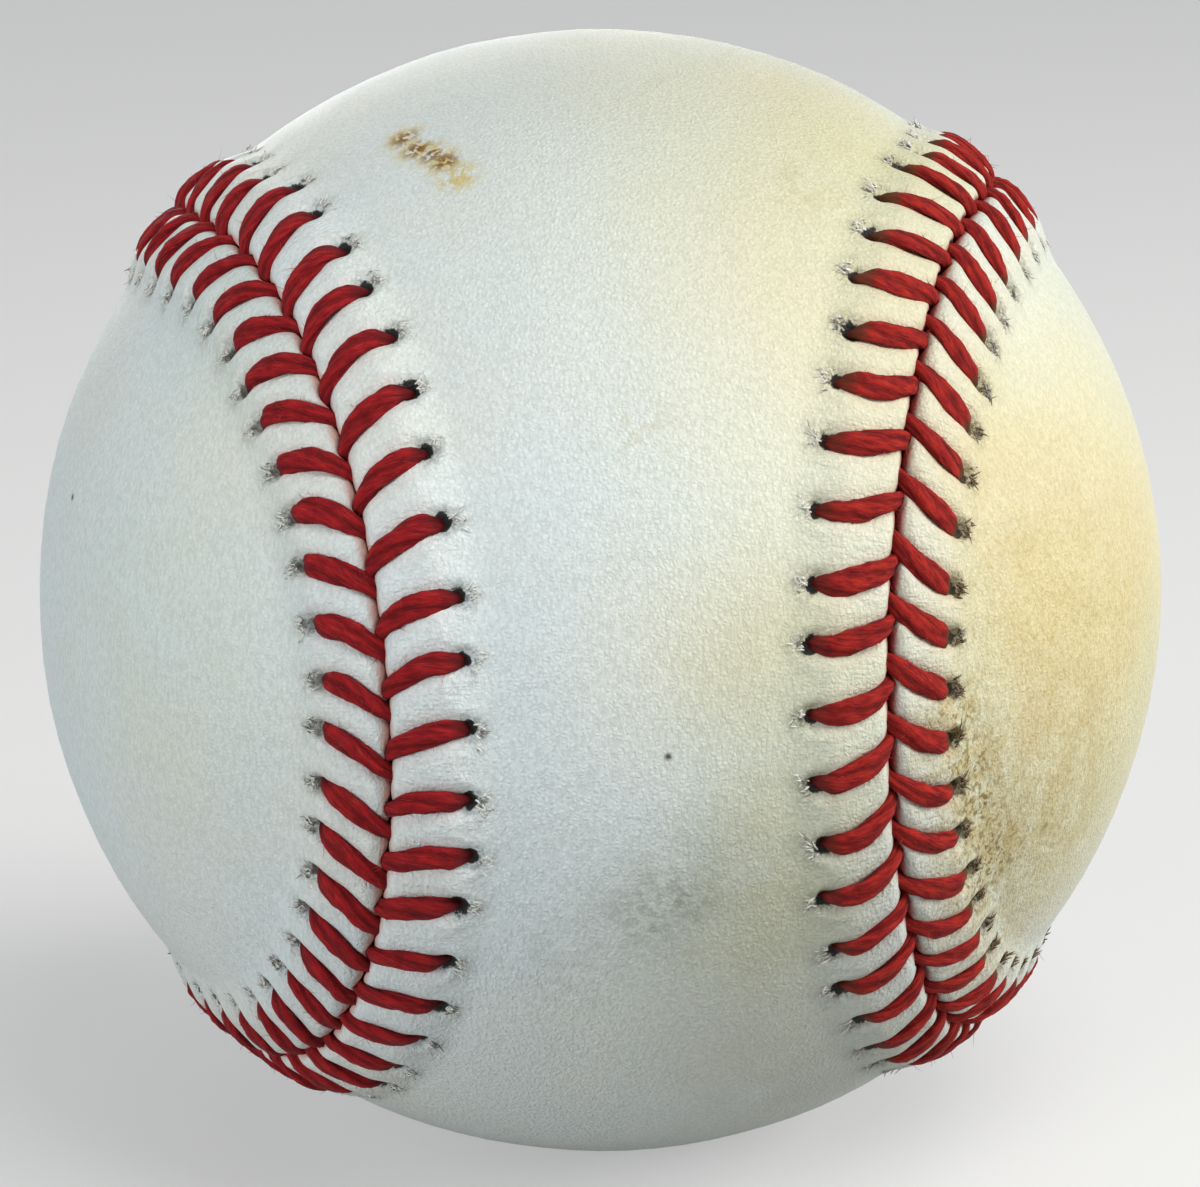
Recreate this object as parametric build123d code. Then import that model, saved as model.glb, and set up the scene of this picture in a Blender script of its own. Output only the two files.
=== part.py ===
from build123d import *
import math
import os

# Pill at the middle of the ball
CORE_DIAMETER = 20.6
CUP_WALL = 3.2
WASHER_THICKNESS = 1.6
JACKET_WALL = 3.1
CEMENT_FILM = 0.15

# Yarn windings, each a depth of wound yarn
FIRST_WINDING = 13.85
SECOND_WINDING = 1.75
THIRD_WINDING = 2.2
FINISHING_WINDING = 0.5

# Cover
ADHESIVE_FILM = 0.15
HIDE_THICKNESS = 1.25
LAYER_FIT = 0.05

# Seam, measured over the leather: across a panel's waist, and along the straight run between two bends
SEAM_WAIST = 30.1
SEAM_RUN = 25.7

# Raised welt along the seam: leather over the thread, flat and sloping width beyond the holes, depth of its root
WELT_HIDE = 0.7
WELT_LAND = 0.7
WELT_SLOPE = 1.2
WELT_ROOT = 0.1

# Double stitch: holes lie back from the seam, and each arm enters the gap further along than its hole
STITCHES = 108
THREAD_DIAMETER = 1.0
THREAD_FIT = 0.05
THREAD_PRESS = 0.15
THREAD_TAIL = 1.2
HOLE_SETBACK = 4.2
STITCH_LEAD = 1.8
BEND_MARGIN = 0.15

# One overrun serves all cuts
CUT_OVERRUN = 0.5

# Radii of the layers, from the middle outwards
core_radius = CORE_DIAMETER / 2
cup_inner = core_radius + LAYER_FIT
cup_outer = cup_inner + CUP_WALL
jacket_inner = cup_outer + LAYER_FIT
jacket_outer = jacket_inner + JACKET_WALL
cement_inner = jacket_outer + LAYER_FIT
cement_outer = cement_inner + CEMENT_FILM
first_inner = cement_outer + LAYER_FIT
first_outer = first_inner + FIRST_WINDING
second_inner = first_outer + LAYER_FIT
second_outer = second_inner + SECOND_WINDING
third_inner = second_outer + LAYER_FIT
third_outer = third_inner + THIRD_WINDING
finishing_inner = third_outer + LAYER_FIT
finishing_outer = finishing_inner + FINISHING_WINDING
adhesive_inner = finishing_outer + LAYER_FIT
adhesive_outer = adhesive_inner + ADHESIVE_FILM
hide_inner = adhesive_outer + LAYER_FIT
ball_radius = hide_inner + HIDE_THICKNESS

# Seam angles seen from the ball's middle; the bend's angle makes bend and run tangent
half_waist = SEAM_WAIST / 2 / ball_radius
half_run = SEAM_RUN / 2 / ball_radius
bend_angle = math.atan2(math.sqrt(2) * math.cos(half_run) - math.sin(half_waist), math.cos(half_waist))
pole_angle = half_waist + bend_angle


def joint_point():
    """Unit point where the front right bend runs into the straight run that climbs to the back."""
    crossing = Vector(1, 0, 1).normalized()
    pole = Vector(math.sin(pole_angle), -math.cos(pole_angle), 0)
    across = crossing.cross(pole).normalized()
    inward = across.cross(crossing)
    turn = math.asin(math.sin(bend_angle) / math.sin(math.acos(crossing.dot(pole))))
    heading = inward * math.cos(turn) - across * math.sin(turn)
    return crossing * math.cos(half_run) + heading * math.sin(half_run)


def seam_segments():
    """Axis, arm, tilt and turn of each bend and run, in travel order; the front panel lies towards the axis."""
    x, y, z = joint_point()
    starts = [(x, y, -z), (x, y, z), (z, -y, x), (-z, -y, x), (-x, y, z), (-x, y, -z), (-z, -y, -x), (z, -y, -x)]
    starts = [Vector(*start) for start in starts]
    sideways = math.sin(pole_angle)
    forward = math.cos(pole_angle)
    bends = [(-sideways, forward, 0), (0, forward, sideways), (sideways, forward, 0), (0, forward, -sideways)]
    segments = []
    for number, start in enumerate(starts):
        end = starts[(number + 1) % len(starts)]
        straight = number % 2 == 1
        axis = start.cross(end).normalized() if straight else Vector(*bends[number // 2])
        arm = (start - axis * start.dot(axis)).normalized()
        end_arm = (end - axis * end.dot(axis)).normalized()
        turn = math.atan2(axis.dot(arm.cross(end_arm)), arm.dot(end_arm))
        segments.append((axis, arm, math.acos(start.dot(axis)), turn))
    return segments


segments = seam_segments()
segment_lengths = [ball_radius * math.sin(tilt) * turn for axis, arm, tilt, turn in segments]
seam_length = sum(segment_lengths)
pitch = seam_length / STITCHES

# Thread levels: the legs press a channel into the finishing yarn, and the arms lie on the welt
thread_radius = THREAD_DIAMETER / 2
hole_radius = thread_radius + THREAD_FIT
bend_radius = thread_radius + BEND_MARGIN
leg_sag = (HOLE_SETBACK ** 2 + (3 * pitch / 2 - STITCH_LEAD) ** 2) / (8 * hide_inner)
arm_sag = (HOLE_SETBACK ** 2 + STITCH_LEAD ** 2) / (8 * ball_radius)
tunnel_floor = finishing_outer - THREAD_PRESS
under_level = tunnel_floor + THREAD_FIT + leg_sag + thread_radius
tunnel_roof = under_level + thread_radius + THREAD_FIT
welt_top = tunnel_roof + WELT_HIDE
over_level = welt_top + THREAD_FIT + arm_sag + thread_radius

# Offsets from the seam's middle
gap_half = hole_radius
tunnel_half = HOLE_SETBACK + hole_radius
land_half = tunnel_half + WELT_LAND
welt_half = land_half + WELT_SLOPE


def on_seam(distance, offset, radius):
    """Point at a distance along the seam, an offset over the leather towards the front panel, and a radius."""
    left = distance % seam_length
    number = 0
    while left > segment_lengths[number]:
        left -= segment_lengths[number]
        number += 1
    axis, arm, tilt, turn = segments[number]
    angle = turn * left / segment_lengths[number]
    around = arm * math.cos(angle) + axis.cross(arm) * math.sin(angle)
    slope = tilt - offset / ball_radius
    return (around * math.sin(slope) + axis * math.cos(slope)) * radius


def section_point(tilt, offset, radius):
    """Point of a cross section at a radius from the ball's middle and an offset square to the seam's plane."""
    height = math.sqrt(radius ** 2 - offset ** 2)
    outward = Vector(math.sin(tilt), 0, math.cos(tilt))
    aside = Vector(-math.cos(tilt), 0, math.sin(tilt))
    return outward * height + aside * offset


def section_arc(tilt, start, end, radius):
    """Arc of a cross section at one radius, from one offset to another."""
    offsets = [start, (start + end) / 2, end]
    return Edge.make_three_point_arc(*[section_point(tilt, offset, radius) for offset in offsets])


def section_face(arcs):
    """Face inside a row of arcs that straight edges join up."""
    edges = []
    for arc, following in zip(arcs, arcs[1:] + arcs[:1]):
        edges += [arc, Edge.make_line(arc @ 1, following @ 0)]
    return Face(Wire(edges))


def welt_section(tilt):
    """Raised band over the seam, with sloping sides that sink into the ball."""
    top = section_arc(tilt, -land_half, land_half, welt_top)
    root = section_arc(tilt, welt_half, -welt_half, ball_radius - WELT_ROOT)
    return section_face([top, root])


def seam_cut_section(tilt):
    """Gap between the two cut edges, with the thread's tunnel under both."""
    floor = section_arc(tilt, -tunnel_half, tunnel_half, tunnel_floor)
    front_roof = section_arc(tilt, tunnel_half, gap_half, tunnel_roof)
    mouth = section_arc(tilt, gap_half, -gap_half, welt_top + CUT_OVERRUN)
    back_roof = section_arc(tilt, -gap_half, -tunnel_half, tunnel_roof)
    return section_face([floor, front_roof, mouth, back_roof])


def along_seam(section):
    """Solids of a cross section turned along every bend and run of the seam."""
    solids = []
    for axis, arm, tilt, turn in segments:
        solid = revolve(section(tilt), axis=Axis.Z, revolution_arc=math.degrees(turn))
        solids.append(Plane((0, 0, 0), x_dir=arm, z_dir=axis) * solid)
    return solids


def stitch_places(number, side):
    """Distances along the seam of a stitch's hole and of its entry to the gap; sides are half a stitch apart."""
    entry = (number + (1 + side) / 4) * pitch
    return entry - STITCH_LEAD, entry


def hole_cut(number, side):
    """Round cut through the welt for one stitch hole."""
    hole, entry = stitch_places(number, side)
    inside = on_seam(hole, side * HOLE_SETBACK, under_level)
    depth = welt_top + CUT_OVERRUN - under_level
    return extrude(Plane(inside, z_dir=inside) * Circle(hole_radius), amount=depth)


def rounded_path(points):
    """Straight runs through the points, with each corner rounded."""
    edges = []
    last = points[0]
    for before, corner, after in zip(points, points[1:], points[2:]):
        back = (before - corner).normalized()
        ahead = (after - corner).normalized()
        half = math.acos(back.dot(ahead)) / 2
        trim = bend_radius / math.tan(half)
        middle = corner + (back + ahead).normalized() * (bend_radius / math.sin(half) - bend_radius)
        edges.append(Edge.make_line(last, corner + back * trim))
        edges.append(Edge.make_three_point_arc(corner + back * trim, middle, corner + ahead * trim))
        last = corner + ahead * trim
    edges.append(Edge.make_line(last, points[-1]))
    return Wire(edges)


def strand(first_side):
    """One needle's thread: it comes up on alternate sides, one stitch further along each time."""
    points = []
    for number in range(STITCHES):
        side = first_side if number % 2 == 0 else -first_side
        hole, entry = stitch_places(number, side)
        if number == 0:
            points.append(on_seam(hole, side * (HOLE_SETBACK - THREAD_TAIL), under_level))
        points.append(on_seam(hole, side * HOLE_SETBACK, under_level))
        points.append(on_seam(hole, side * HOLE_SETBACK, over_level))
        points.append(on_seam(entry, 0, over_level))
        points.append(on_seam(entry, 0, under_level))
    points.append(on_seam(entry, -side * THREAD_TAIL, under_level))
    path = rounded_path(points)
    section = Plane(points[0], z_dir=path % 0) * Circle(thread_radius)
    return sweep(section, path=path)


def shell(inner, outer):
    """Hollow ball."""
    return Sphere(outer) - Sphere(inner)


def front_and_back(halves):
    """The piece on the front panel's side and the one on the back panel's, told apart by their middles."""
    return sorted(halves.solids(), key=lambda half: half.center().Y)


def cover_panels(seam_cuts):
    """Front and back hide, each with its welt, its share of the tunnel and its stitch holes."""
    hide = Sphere(ball_radius) + along_seam(welt_section)
    hide = hide - Sphere(hide_inner) - seam_cuts
    panels = front_and_back(hide)
    for number, side in enumerate((1, -1)):
        panels[number] = panels[number] - [hole_cut(stitch, side) for stitch in range(STITCHES)]
    return panels


def cups():
    """Upper and lower rubber cups, parted by the washer at the middle."""
    part_line = WASHER_THICKNESS / 2 + LAYER_FIT
    slab = Cylinder(cup_outer + CUT_OVERRUN, 2 * part_line)
    return sorted((shell(cup_inner, cup_outer) - slab).solids(), key=lambda cup: -cup.center().Z)


def washer():
    """Ring that seals the joint of the two cups."""
    slab = Cylinder(cup_outer + CUT_OVERRUN, WASHER_THICKNESS)
    return shell(cup_inner, cup_outer) & slab


def main():
    """Makes every piece and writes one file for each."""
    seam_cuts = along_seam(seam_cut_section)
    upper_cup, lower_cup = cups()
    front_adhesive, back_adhesive = front_and_back(shell(adhesive_inner, adhesive_outer) - seam_cuts)
    front_panel, back_panel = cover_panels(seam_cuts)
    pieces = {
        "cork_core": Sphere(core_radius),
        "black_rubber_cup_upper": upper_cup,
        "black_rubber_cup_lower": lower_cup,
        "sealing_washer": washer(),
        "red_rubber_jacket": shell(jacket_inner, jacket_outer),
        "pill_cement_coat": shell(cement_inner, cement_outer),
        "first_wool_winding": shell(first_inner, first_outer),
        "second_wool_winding": shell(second_inner, second_outer),
        "third_wool_winding": shell(third_inner, third_outer),
        "finishing_yarn_winding": shell(finishing_inner, finishing_outer) - seam_cuts,
        "adhesive_coat_front": front_adhesive,
        "adhesive_coat_back": back_adhesive,
        "cover_panel_front": front_panel,
        "cover_panel_back": back_panel,
        "stitch_thread_first": strand(-1),
        "stitch_thread_second": strand(1),
    }
    os.makedirs("parts", exist_ok=True)
    for name, piece in pieces.items():
        export_step(piece, f"parts/{name}.step")


main()
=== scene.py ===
"""A used baseball: grained hide panels, raised red stitching, and the wound core under them.

The two hide panels, the two strands of stitch thread and the yarn of the four windings are modelled here
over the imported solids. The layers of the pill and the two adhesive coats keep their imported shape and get
a finish of their own. Lengths are in millimetres, and a mesh is turned into metres when it is made.
"""

import logging
import math
from dataclasses import dataclass, field
from enum import Enum

import bmesh
import bpy
import numpy as np
from mathutils import Euler, Matrix, Vector


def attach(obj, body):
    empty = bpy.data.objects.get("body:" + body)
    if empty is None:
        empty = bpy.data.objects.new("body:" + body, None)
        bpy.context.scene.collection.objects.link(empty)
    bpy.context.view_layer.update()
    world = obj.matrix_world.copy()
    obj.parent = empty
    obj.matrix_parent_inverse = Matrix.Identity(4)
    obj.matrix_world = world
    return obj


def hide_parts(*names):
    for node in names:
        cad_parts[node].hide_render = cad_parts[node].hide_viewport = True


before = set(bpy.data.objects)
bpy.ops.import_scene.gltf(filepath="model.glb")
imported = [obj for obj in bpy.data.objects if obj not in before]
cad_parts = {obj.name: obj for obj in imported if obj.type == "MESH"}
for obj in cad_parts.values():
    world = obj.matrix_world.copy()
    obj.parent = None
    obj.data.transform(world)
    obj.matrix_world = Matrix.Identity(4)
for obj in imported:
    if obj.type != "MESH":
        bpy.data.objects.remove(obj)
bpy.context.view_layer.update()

LOG = logging.getLogger("baseball")

MM = 0.001
SEED = 108
FAR_AWAY = 1e9
SHELL_WELD = 2e-6
POLE_WELD = 1e-6

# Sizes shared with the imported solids
BALL_RADIUS = 36.9
HIDE_THICKNESS = 1.25
SEAM_WAIST = 30.1
SEAM_RUN = 25.7
STITCHES = 108

# Raised hide beside the seam
WELT_RISE = 0.78
WELT_TOP = 3.3
WELT_FOOT = 7.0

# Stations of a stitch arm from its hole to the seam, with heights over the plain hide
ARM_SHARES = np.array([1.03, 0.97, 0.86, 0.67, 0.46, 0.25, 0.09, -0.04])
ARM_HEIGHTS = np.array([-0.70, -0.08, 0.56, 0.84, 0.90, 0.80, 0.54, 0.02])
ARM_HALF_WIDTHS = np.array([0.34, 0.54, 0.74, 0.81, 0.80, 0.73, 0.63, 0.52])
ARM_HALF_DEPTHS = np.array([0.34, 0.38, 0.38, 0.40, 0.42, 0.42, 0.42, 0.40])
ARM_TIPS = np.array([1.0, 1.0, 0.75, 0.1, 0.0, 0.0, 0.0, 0.0])
ARM_SHOWN = 0.3

# Stations under the hide on the way to the next hole, as pairs of share and height
HIDDEN_STATIONS = ((0.22, -0.72), (0.66, -0.78))
HIDDEN_HALF_WIDTH = 0.36
HIDDEN_HALF_DEPTH = 0.34

# Stations of a loose fibre from root to tip, and its taper
HAIR_SHARES = np.array([0.0, 0.38, 0.74, 1.0])
HAIR_TAPER = np.array([1.0, 0.85, 0.55])
HAIR_SKEW = 0.31

# Soiled part of the ball, which grows to the right and fades towards the top and the back
SOIL_LEFT = 8.0
SOIL_TOP = 27.0
SOIL_FULL_LEVEL = 12.0
SOIL_BACK = 4.0
SOIL_FULL_FRONT = -8.0

Colour = tuple[float, float, float]
Place = tuple[float, float, float]
Span = tuple[float, float]
Socket = bpy.types.NodeSocket


class Panel(Enum):
    """The two hide panels, by the side of the seam they lie on."""

    FRONT = 1
    BACK = -1

    @property
    def node(self) -> str:
        """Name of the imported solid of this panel."""
        return "cover_panel_front" if self is Panel.FRONT else "cover_panel_back"

    @property
    def spine_axis(self) -> int:
        """Axis that is square to the plane the panel is mirrored in."""
        return 0 if self is Panel.FRONT else 2

    @property
    def hole_half_width(self) -> float:
        """Half width of the hole at the end of a stitch, which is painted dark as shade."""
        return 0.66 if self is Panel.FRONT else 0.55

    @property
    def tuft_setback(self) -> float:
        """Way from a hole to the torn fibres beyond it."""
        return 0.66 if self is Panel.FRONT else 0.38


def smooth_step(low: float, high: float, value: np.ndarray) -> np.ndarray:
    """Eased ramp from 0 at low to 1 at high.

    Args:
        low: Value at which the ramp is 0.
        high: Value at which the ramp is 1, also when it is the lesser of the two.
        value: Numbers to look up.

    Returns:
        The ramp at each number.
    """
    share = np.clip((value - low) / (high - low), 0.0, 1.0)
    return share * share * (3.0 - 2.0 * share)


def bell(value: np.ndarray, width: float) -> np.ndarray:
    """Bell curve of height 1 about 0 with the given width."""
    return np.exp(-np.square(value / width))


def wobble(points: np.ndarray, wave: float, rng: np.random.Generator, terms: int = 9) -> np.ndarray:
    """Smooth noise about -1 to 1 that depends only on the place.

    Args:
        points: Places in millimetres, in the last axis.
        wave: Usual wave length in millimetres.
        rng: Seeded source of the wave directions.
        terms: Number of plain waves added up.

    Returns:
        One number for each place.
    """
    axes = rng.normal(size=(terms, 3))
    spread = rng.uniform(0.6, 1.5, terms) / np.linalg.norm(axes, axis=1)
    axes *= spread[:, None] * (2.0 * math.pi / wave)
    shifts = rng.uniform(0.0, 2.0 * math.pi, terms)
    return np.sin(points @ axes.T + shifts).sum(axis=-1) / math.sqrt(terms)


def unit(vectors: np.ndarray) -> np.ndarray:
    """Vectors of the last axis, brought to length 1."""
    return vectors / np.linalg.norm(vectors, axis=-1, keepdims=True)


def grid_quads(rows: int, columns: int, closed_rows: bool) -> np.ndarray:
    """Corner numbers of a grid whose columns run all the way round.

    Args:
        rows: Number of rows of points.
        columns: Number of points in a row, the last joined to the first.
        closed_rows: Whether the last row is joined to the first as well.

    Returns:
        One line of four point numbers for each face.
    """
    upper = np.arange(rows if closed_rows else rows - 1)[:, None]
    lower = (upper + 1) % rows
    here = np.arange(columns)[None, :]
    there = (here + 1) % columns
    first, second = upper * columns, lower * columns
    corners = [first + here, first + there, second + there, second + here]
    return np.stack(np.broadcast_arrays(*corners), axis=-1).reshape(-1, 4)


def mesh_object(name: str, points: np.ndarray, faces: np.ndarray) -> bpy.types.Object:
    """Smooth-shaded object from whole arrays, linked to the scene.

    Args:
        name: Name of the piece.
        points: Places in millimetres, one line each.
        faces: Point numbers, one line for each face.

    Returns:
        The new object, at the origin.
    """
    mesh = bpy.data.meshes.new(name)
    corners = faces.shape[1]
    mesh.vertices.add(len(points))
    mesh.vertices.foreach_set("co", np.ascontiguousarray(points * MM, dtype=np.float32).ravel())
    mesh.loops.add(faces.size)
    mesh.loops.foreach_set("vertex_index", np.ascontiguousarray(faces, dtype=np.int32).ravel())
    mesh.polygons.add(len(faces))
    mesh.polygons.foreach_set("loop_start", np.arange(0, faces.size, corners, dtype=np.int32))
    mesh.polygons.foreach_set("use_smooth", np.ones(len(faces), dtype=bool))
    mesh.update(calc_edges=True)
    mesh.validate()
    piece = bpy.data.objects.new(name, mesh)
    bpy.context.scene.collection.objects.link(piece)
    return piece


def store(piece: bpy.types.Object, name: str, values: np.ndarray) -> None:
    """Keeps one number for each point of a piece, for its finish."""
    layer = piece.data.attributes.new(name, "FLOAT", "POINT")
    layer.data.foreach_set("value", np.ascontiguousarray(values, dtype=np.float32).ravel())


def lay_map(piece: bpy.types.Object, run: np.ndarray, around: int) -> None:
    """Keeps the share of the way round and the way along a closed strand as a UV map.

    Args:
        piece: The strand, made of rings of points.
        run: Way along the strand of each ring.
        around: Number of points in a ring.
    """
    ends = np.append(run[1:], 2.0 * run[-1] - run[-2])
    u = (np.arange(around)[None, :, None] + np.array([0, 1, 1, 0])) / around
    v = np.where(np.array([0, 0, 1, 1]), ends[:, None, None], run[:, None, None])
    both = np.stack(np.broadcast_arrays(u, v), axis=-1)
    layer = piece.data.uv_layers.new(name="lay")
    layer.data.foreach_set("uv", np.ascontiguousarray(both, dtype=np.float32).ravel())


def join(piece: bpy.types.Object, *extras: bpy.types.Mesh) -> None:
    """Adds meshes to the mesh of a piece."""
    whole = bmesh.new()
    for mesh in (piece.data, *extras):
        whole.from_mesh(mesh)
    whole.to_mesh(piece.data)
    whole.free()


@dataclass
class Hairs:
    """Short loose fibres, each a three-sided spike that bends over towards its tip."""

    roots: np.ndarray
    heads: np.ndarray
    bends: np.ndarray
    lengths: np.ndarray
    thickness: float

    def mesh(self, name: str) -> bpy.types.Mesh:
        """Makes all the fibres as one mesh.

        A fibre's middle line is a parabola: the root, plus the heading times the way along, plus the
        bend times the square of it. Rings of three points narrow towards the tip.

        Args:
            name: Name of the mesh.

        Returns:
            A mesh of triangles with the number 1 kept on its points as fibre.
        """
        way = self.lengths[:, None, None] * HAIR_SHARES[None, :, None]
        curl = self.bends[:, None] * way * HAIR_SHARES[None, :, None]
        middle = self.roots[:, None] + self.heads[:, None] * way + curl
        side = unit(np.cross(self.heads, np.roll(self.heads, 1, axis=1) + HAIR_SKEW))
        other = np.cross(self.heads, side)
        angles = np.arange(3) * 2.0 * math.pi / 3.0
        rim = side[:, None] * np.cos(angles)[None, :, None]
        rim = rim + other[:, None] * np.sin(angles)[None, :, None]
        radii = self.thickness / 2.0 * HAIR_TAPER
        rings = middle[:, :3, None] + rim[:, None] * radii[None, :, None, None]
        points = np.concatenate([rings.reshape(-1, 9, 3), middle[:, 3:]], axis=1)
        faces = [(0, 2, 1)] + [(6 + k, 6 + (k + 1) % 3, 9) for k in range(3)]
        for base in (0, 3):
            for k in range(3):
                here, there = base + k, base + (k + 1) % 3
                faces += [(here, there, there + 3), (here, there + 3, here + 3)]
        count = len(self.roots)
        every = np.array(faces)[None] + 10 * np.arange(count)[:, None, None]
        piece = mesh_object(name, points.reshape(-1, 3), every.reshape(-1, 3))
        store(piece, "fibre", np.ones(count * 10))
        mesh = piece.data
        bpy.data.objects.remove(piece)
        return mesh


@dataclass
class Seam:
    """Closed line where the panels meet: four bends and four straight runs laid on the ball.

    A place is found by the way along the seam and the way across it, where across is counted
    towards the front panel.
    """

    radius: float = BALL_RADIUS
    waist: float = SEAM_WAIST
    run: float = SEAM_RUN
    axes: np.ndarray = field(init=False)
    arms: np.ndarray = field(init=False)
    tilts: np.ndarray = field(init=False)
    begins: np.ndarray = field(init=False)
    length: float = field(init=False)
    right_bend: float = field(init=False)
    top_bend: float = field(init=False)

    def __post_init__(self) -> None:
        """Lays out the eight arcs from the waist and the run."""
        half_waist = self.waist / 2.0 / self.radius
        half_run = self.run / 2.0 / self.radius
        rest = math.sqrt(2.0) * math.cos(half_run) - math.sin(half_waist)
        bend = math.atan2(rest, math.cos(half_waist))
        reach = half_waist + bend
        sweep, fore = math.sin(reach), math.cos(reach)
        x, y, z = self._joint(half_run, bend, sweep, fore)
        starts = np.array(
            [
                (x, y, -z),
                (x, y, z),
                (z, -y, x),
                (-z, -y, x),
                (-x, y, z),
                (-x, y, -z),
                (-z, -y, -x),
                (z, -y, -x),
            ]
        )
        ends = np.roll(starts, -1, axis=0)
        axes = unit(np.cross(starts, ends))
        axes[0::2] = [(-sweep, fore, 0.0), (0.0, fore, sweep), (sweep, fore, 0.0), (0.0, fore, -sweep)]
        flat = np.sum(starts * axes, axis=1, keepdims=True)
        arms = unit(starts - axes * flat)
        end_arms = unit(ends - axes * np.sum(ends * axes, axis=1, keepdims=True))
        sines = np.sum(axes * np.cross(arms, end_arms), axis=1)
        turns = np.arctan2(sines, np.sum(arms * end_arms, axis=1))
        turns = np.where(np.arange(8) % 2 == 0, np.mod(turns, 2.0 * math.pi), turns)
        self.axes, self.arms, self.tilts = axes, arms, np.arccos(flat[:, 0])
        lengths = self.radius * np.sin(self.tilts) * turns
        self.begins = np.concatenate([[0.0], np.cumsum(lengths)[:-1]])
        self.length = float(lengths.sum())
        self.right_bend = float(lengths[0] / 2.0)
        self.top_bend = float(self.begins[2] + lengths[2] / 2.0)

    @staticmethod
    def _joint(half_run: float, bend: float, sweep: float, fore: float) -> np.ndarray:
        """Place on the unit ball where the right front bend turns into a run.

        Args:
            half_run: Half the run as an angle.
            bend: Radius of a bend as an angle.
            sweep: Sideways part of the bend's middle.
            fore: Forward part of the bend's middle.

        Returns:
            The three coordinates.
        """
        middle = np.array([1.0, 0.0, 1.0]) / math.sqrt(2.0)
        centre = np.array([sweep, -fore, 0.0])
        across = unit(np.cross(middle, centre))
        inward = np.cross(across, middle)
        turn = math.asin(math.sin(bend) / math.sin(math.acos(float(middle @ centre))))
        heading = inward * math.cos(turn) - across * math.sin(turn)
        return middle * math.cos(half_run) + heading * math.sin(half_run)

    def frames(self, along: np.ndarray) -> tuple[np.ndarray, np.ndarray, np.ndarray]:
        """Outward, forward and sideways directions on the seam.

        Args:
            along: Way along the seam.

        Returns:
            Directions out of the ball, along the seam and towards the front panel.
        """
        way = np.mod(along, self.length)
        arc = np.clip(np.searchsorted(self.begins, way, side="right") - 1, 0, 7)
        axis, arm, tilt = self.axes[arc], self.arms[arc], self.tilts[arc][..., None]
        angle = ((way - self.begins[arc]) / self.radius)[..., None] / np.sin(tilt)
        around = arm * np.cos(angle) + np.cross(axis, arm) * np.sin(angle)
        outward = around * np.sin(tilt) + axis * np.cos(tilt)
        forward = np.cross(axis, around)
        return outward, forward, np.cross(outward, forward)

    def points(self, along: np.ndarray, across: np.ndarray, height: np.ndarray) -> np.ndarray:
        """Places beside the seam.

        Args:
            along: Way along the seam.
            across: Way from the seam over the ball, positive on the front panel.
            height: Height over the plain hide.

        Returns:
            The places in millimetres.
        """
        outward, _, sideways = self.frames(along)
        angle = (across / self.radius)[..., None]
        return (outward * np.cos(angle) + sideways * np.sin(angle)) * (self.radius + height)[..., None]

    def compass(self, along: np.ndarray, across: np.ndarray) -> tuple[np.ndarray, np.ndarray, np.ndarray]:
        """Local directions beside the seam.

        Args:
            along: Way along the seam.
            across: Way from the seam, positive on the front panel.

        Returns:
            Directions out of the ball, along the seam and further over the front panel.
        """
        outward, forward, sideways = self.frames(along)
        angle = (across / self.radius)[..., None]
        up = outward * np.cos(angle) + sideways * np.sin(angle)
        return up, forward, sideways * np.cos(angle) - outward * np.sin(angle)


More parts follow.
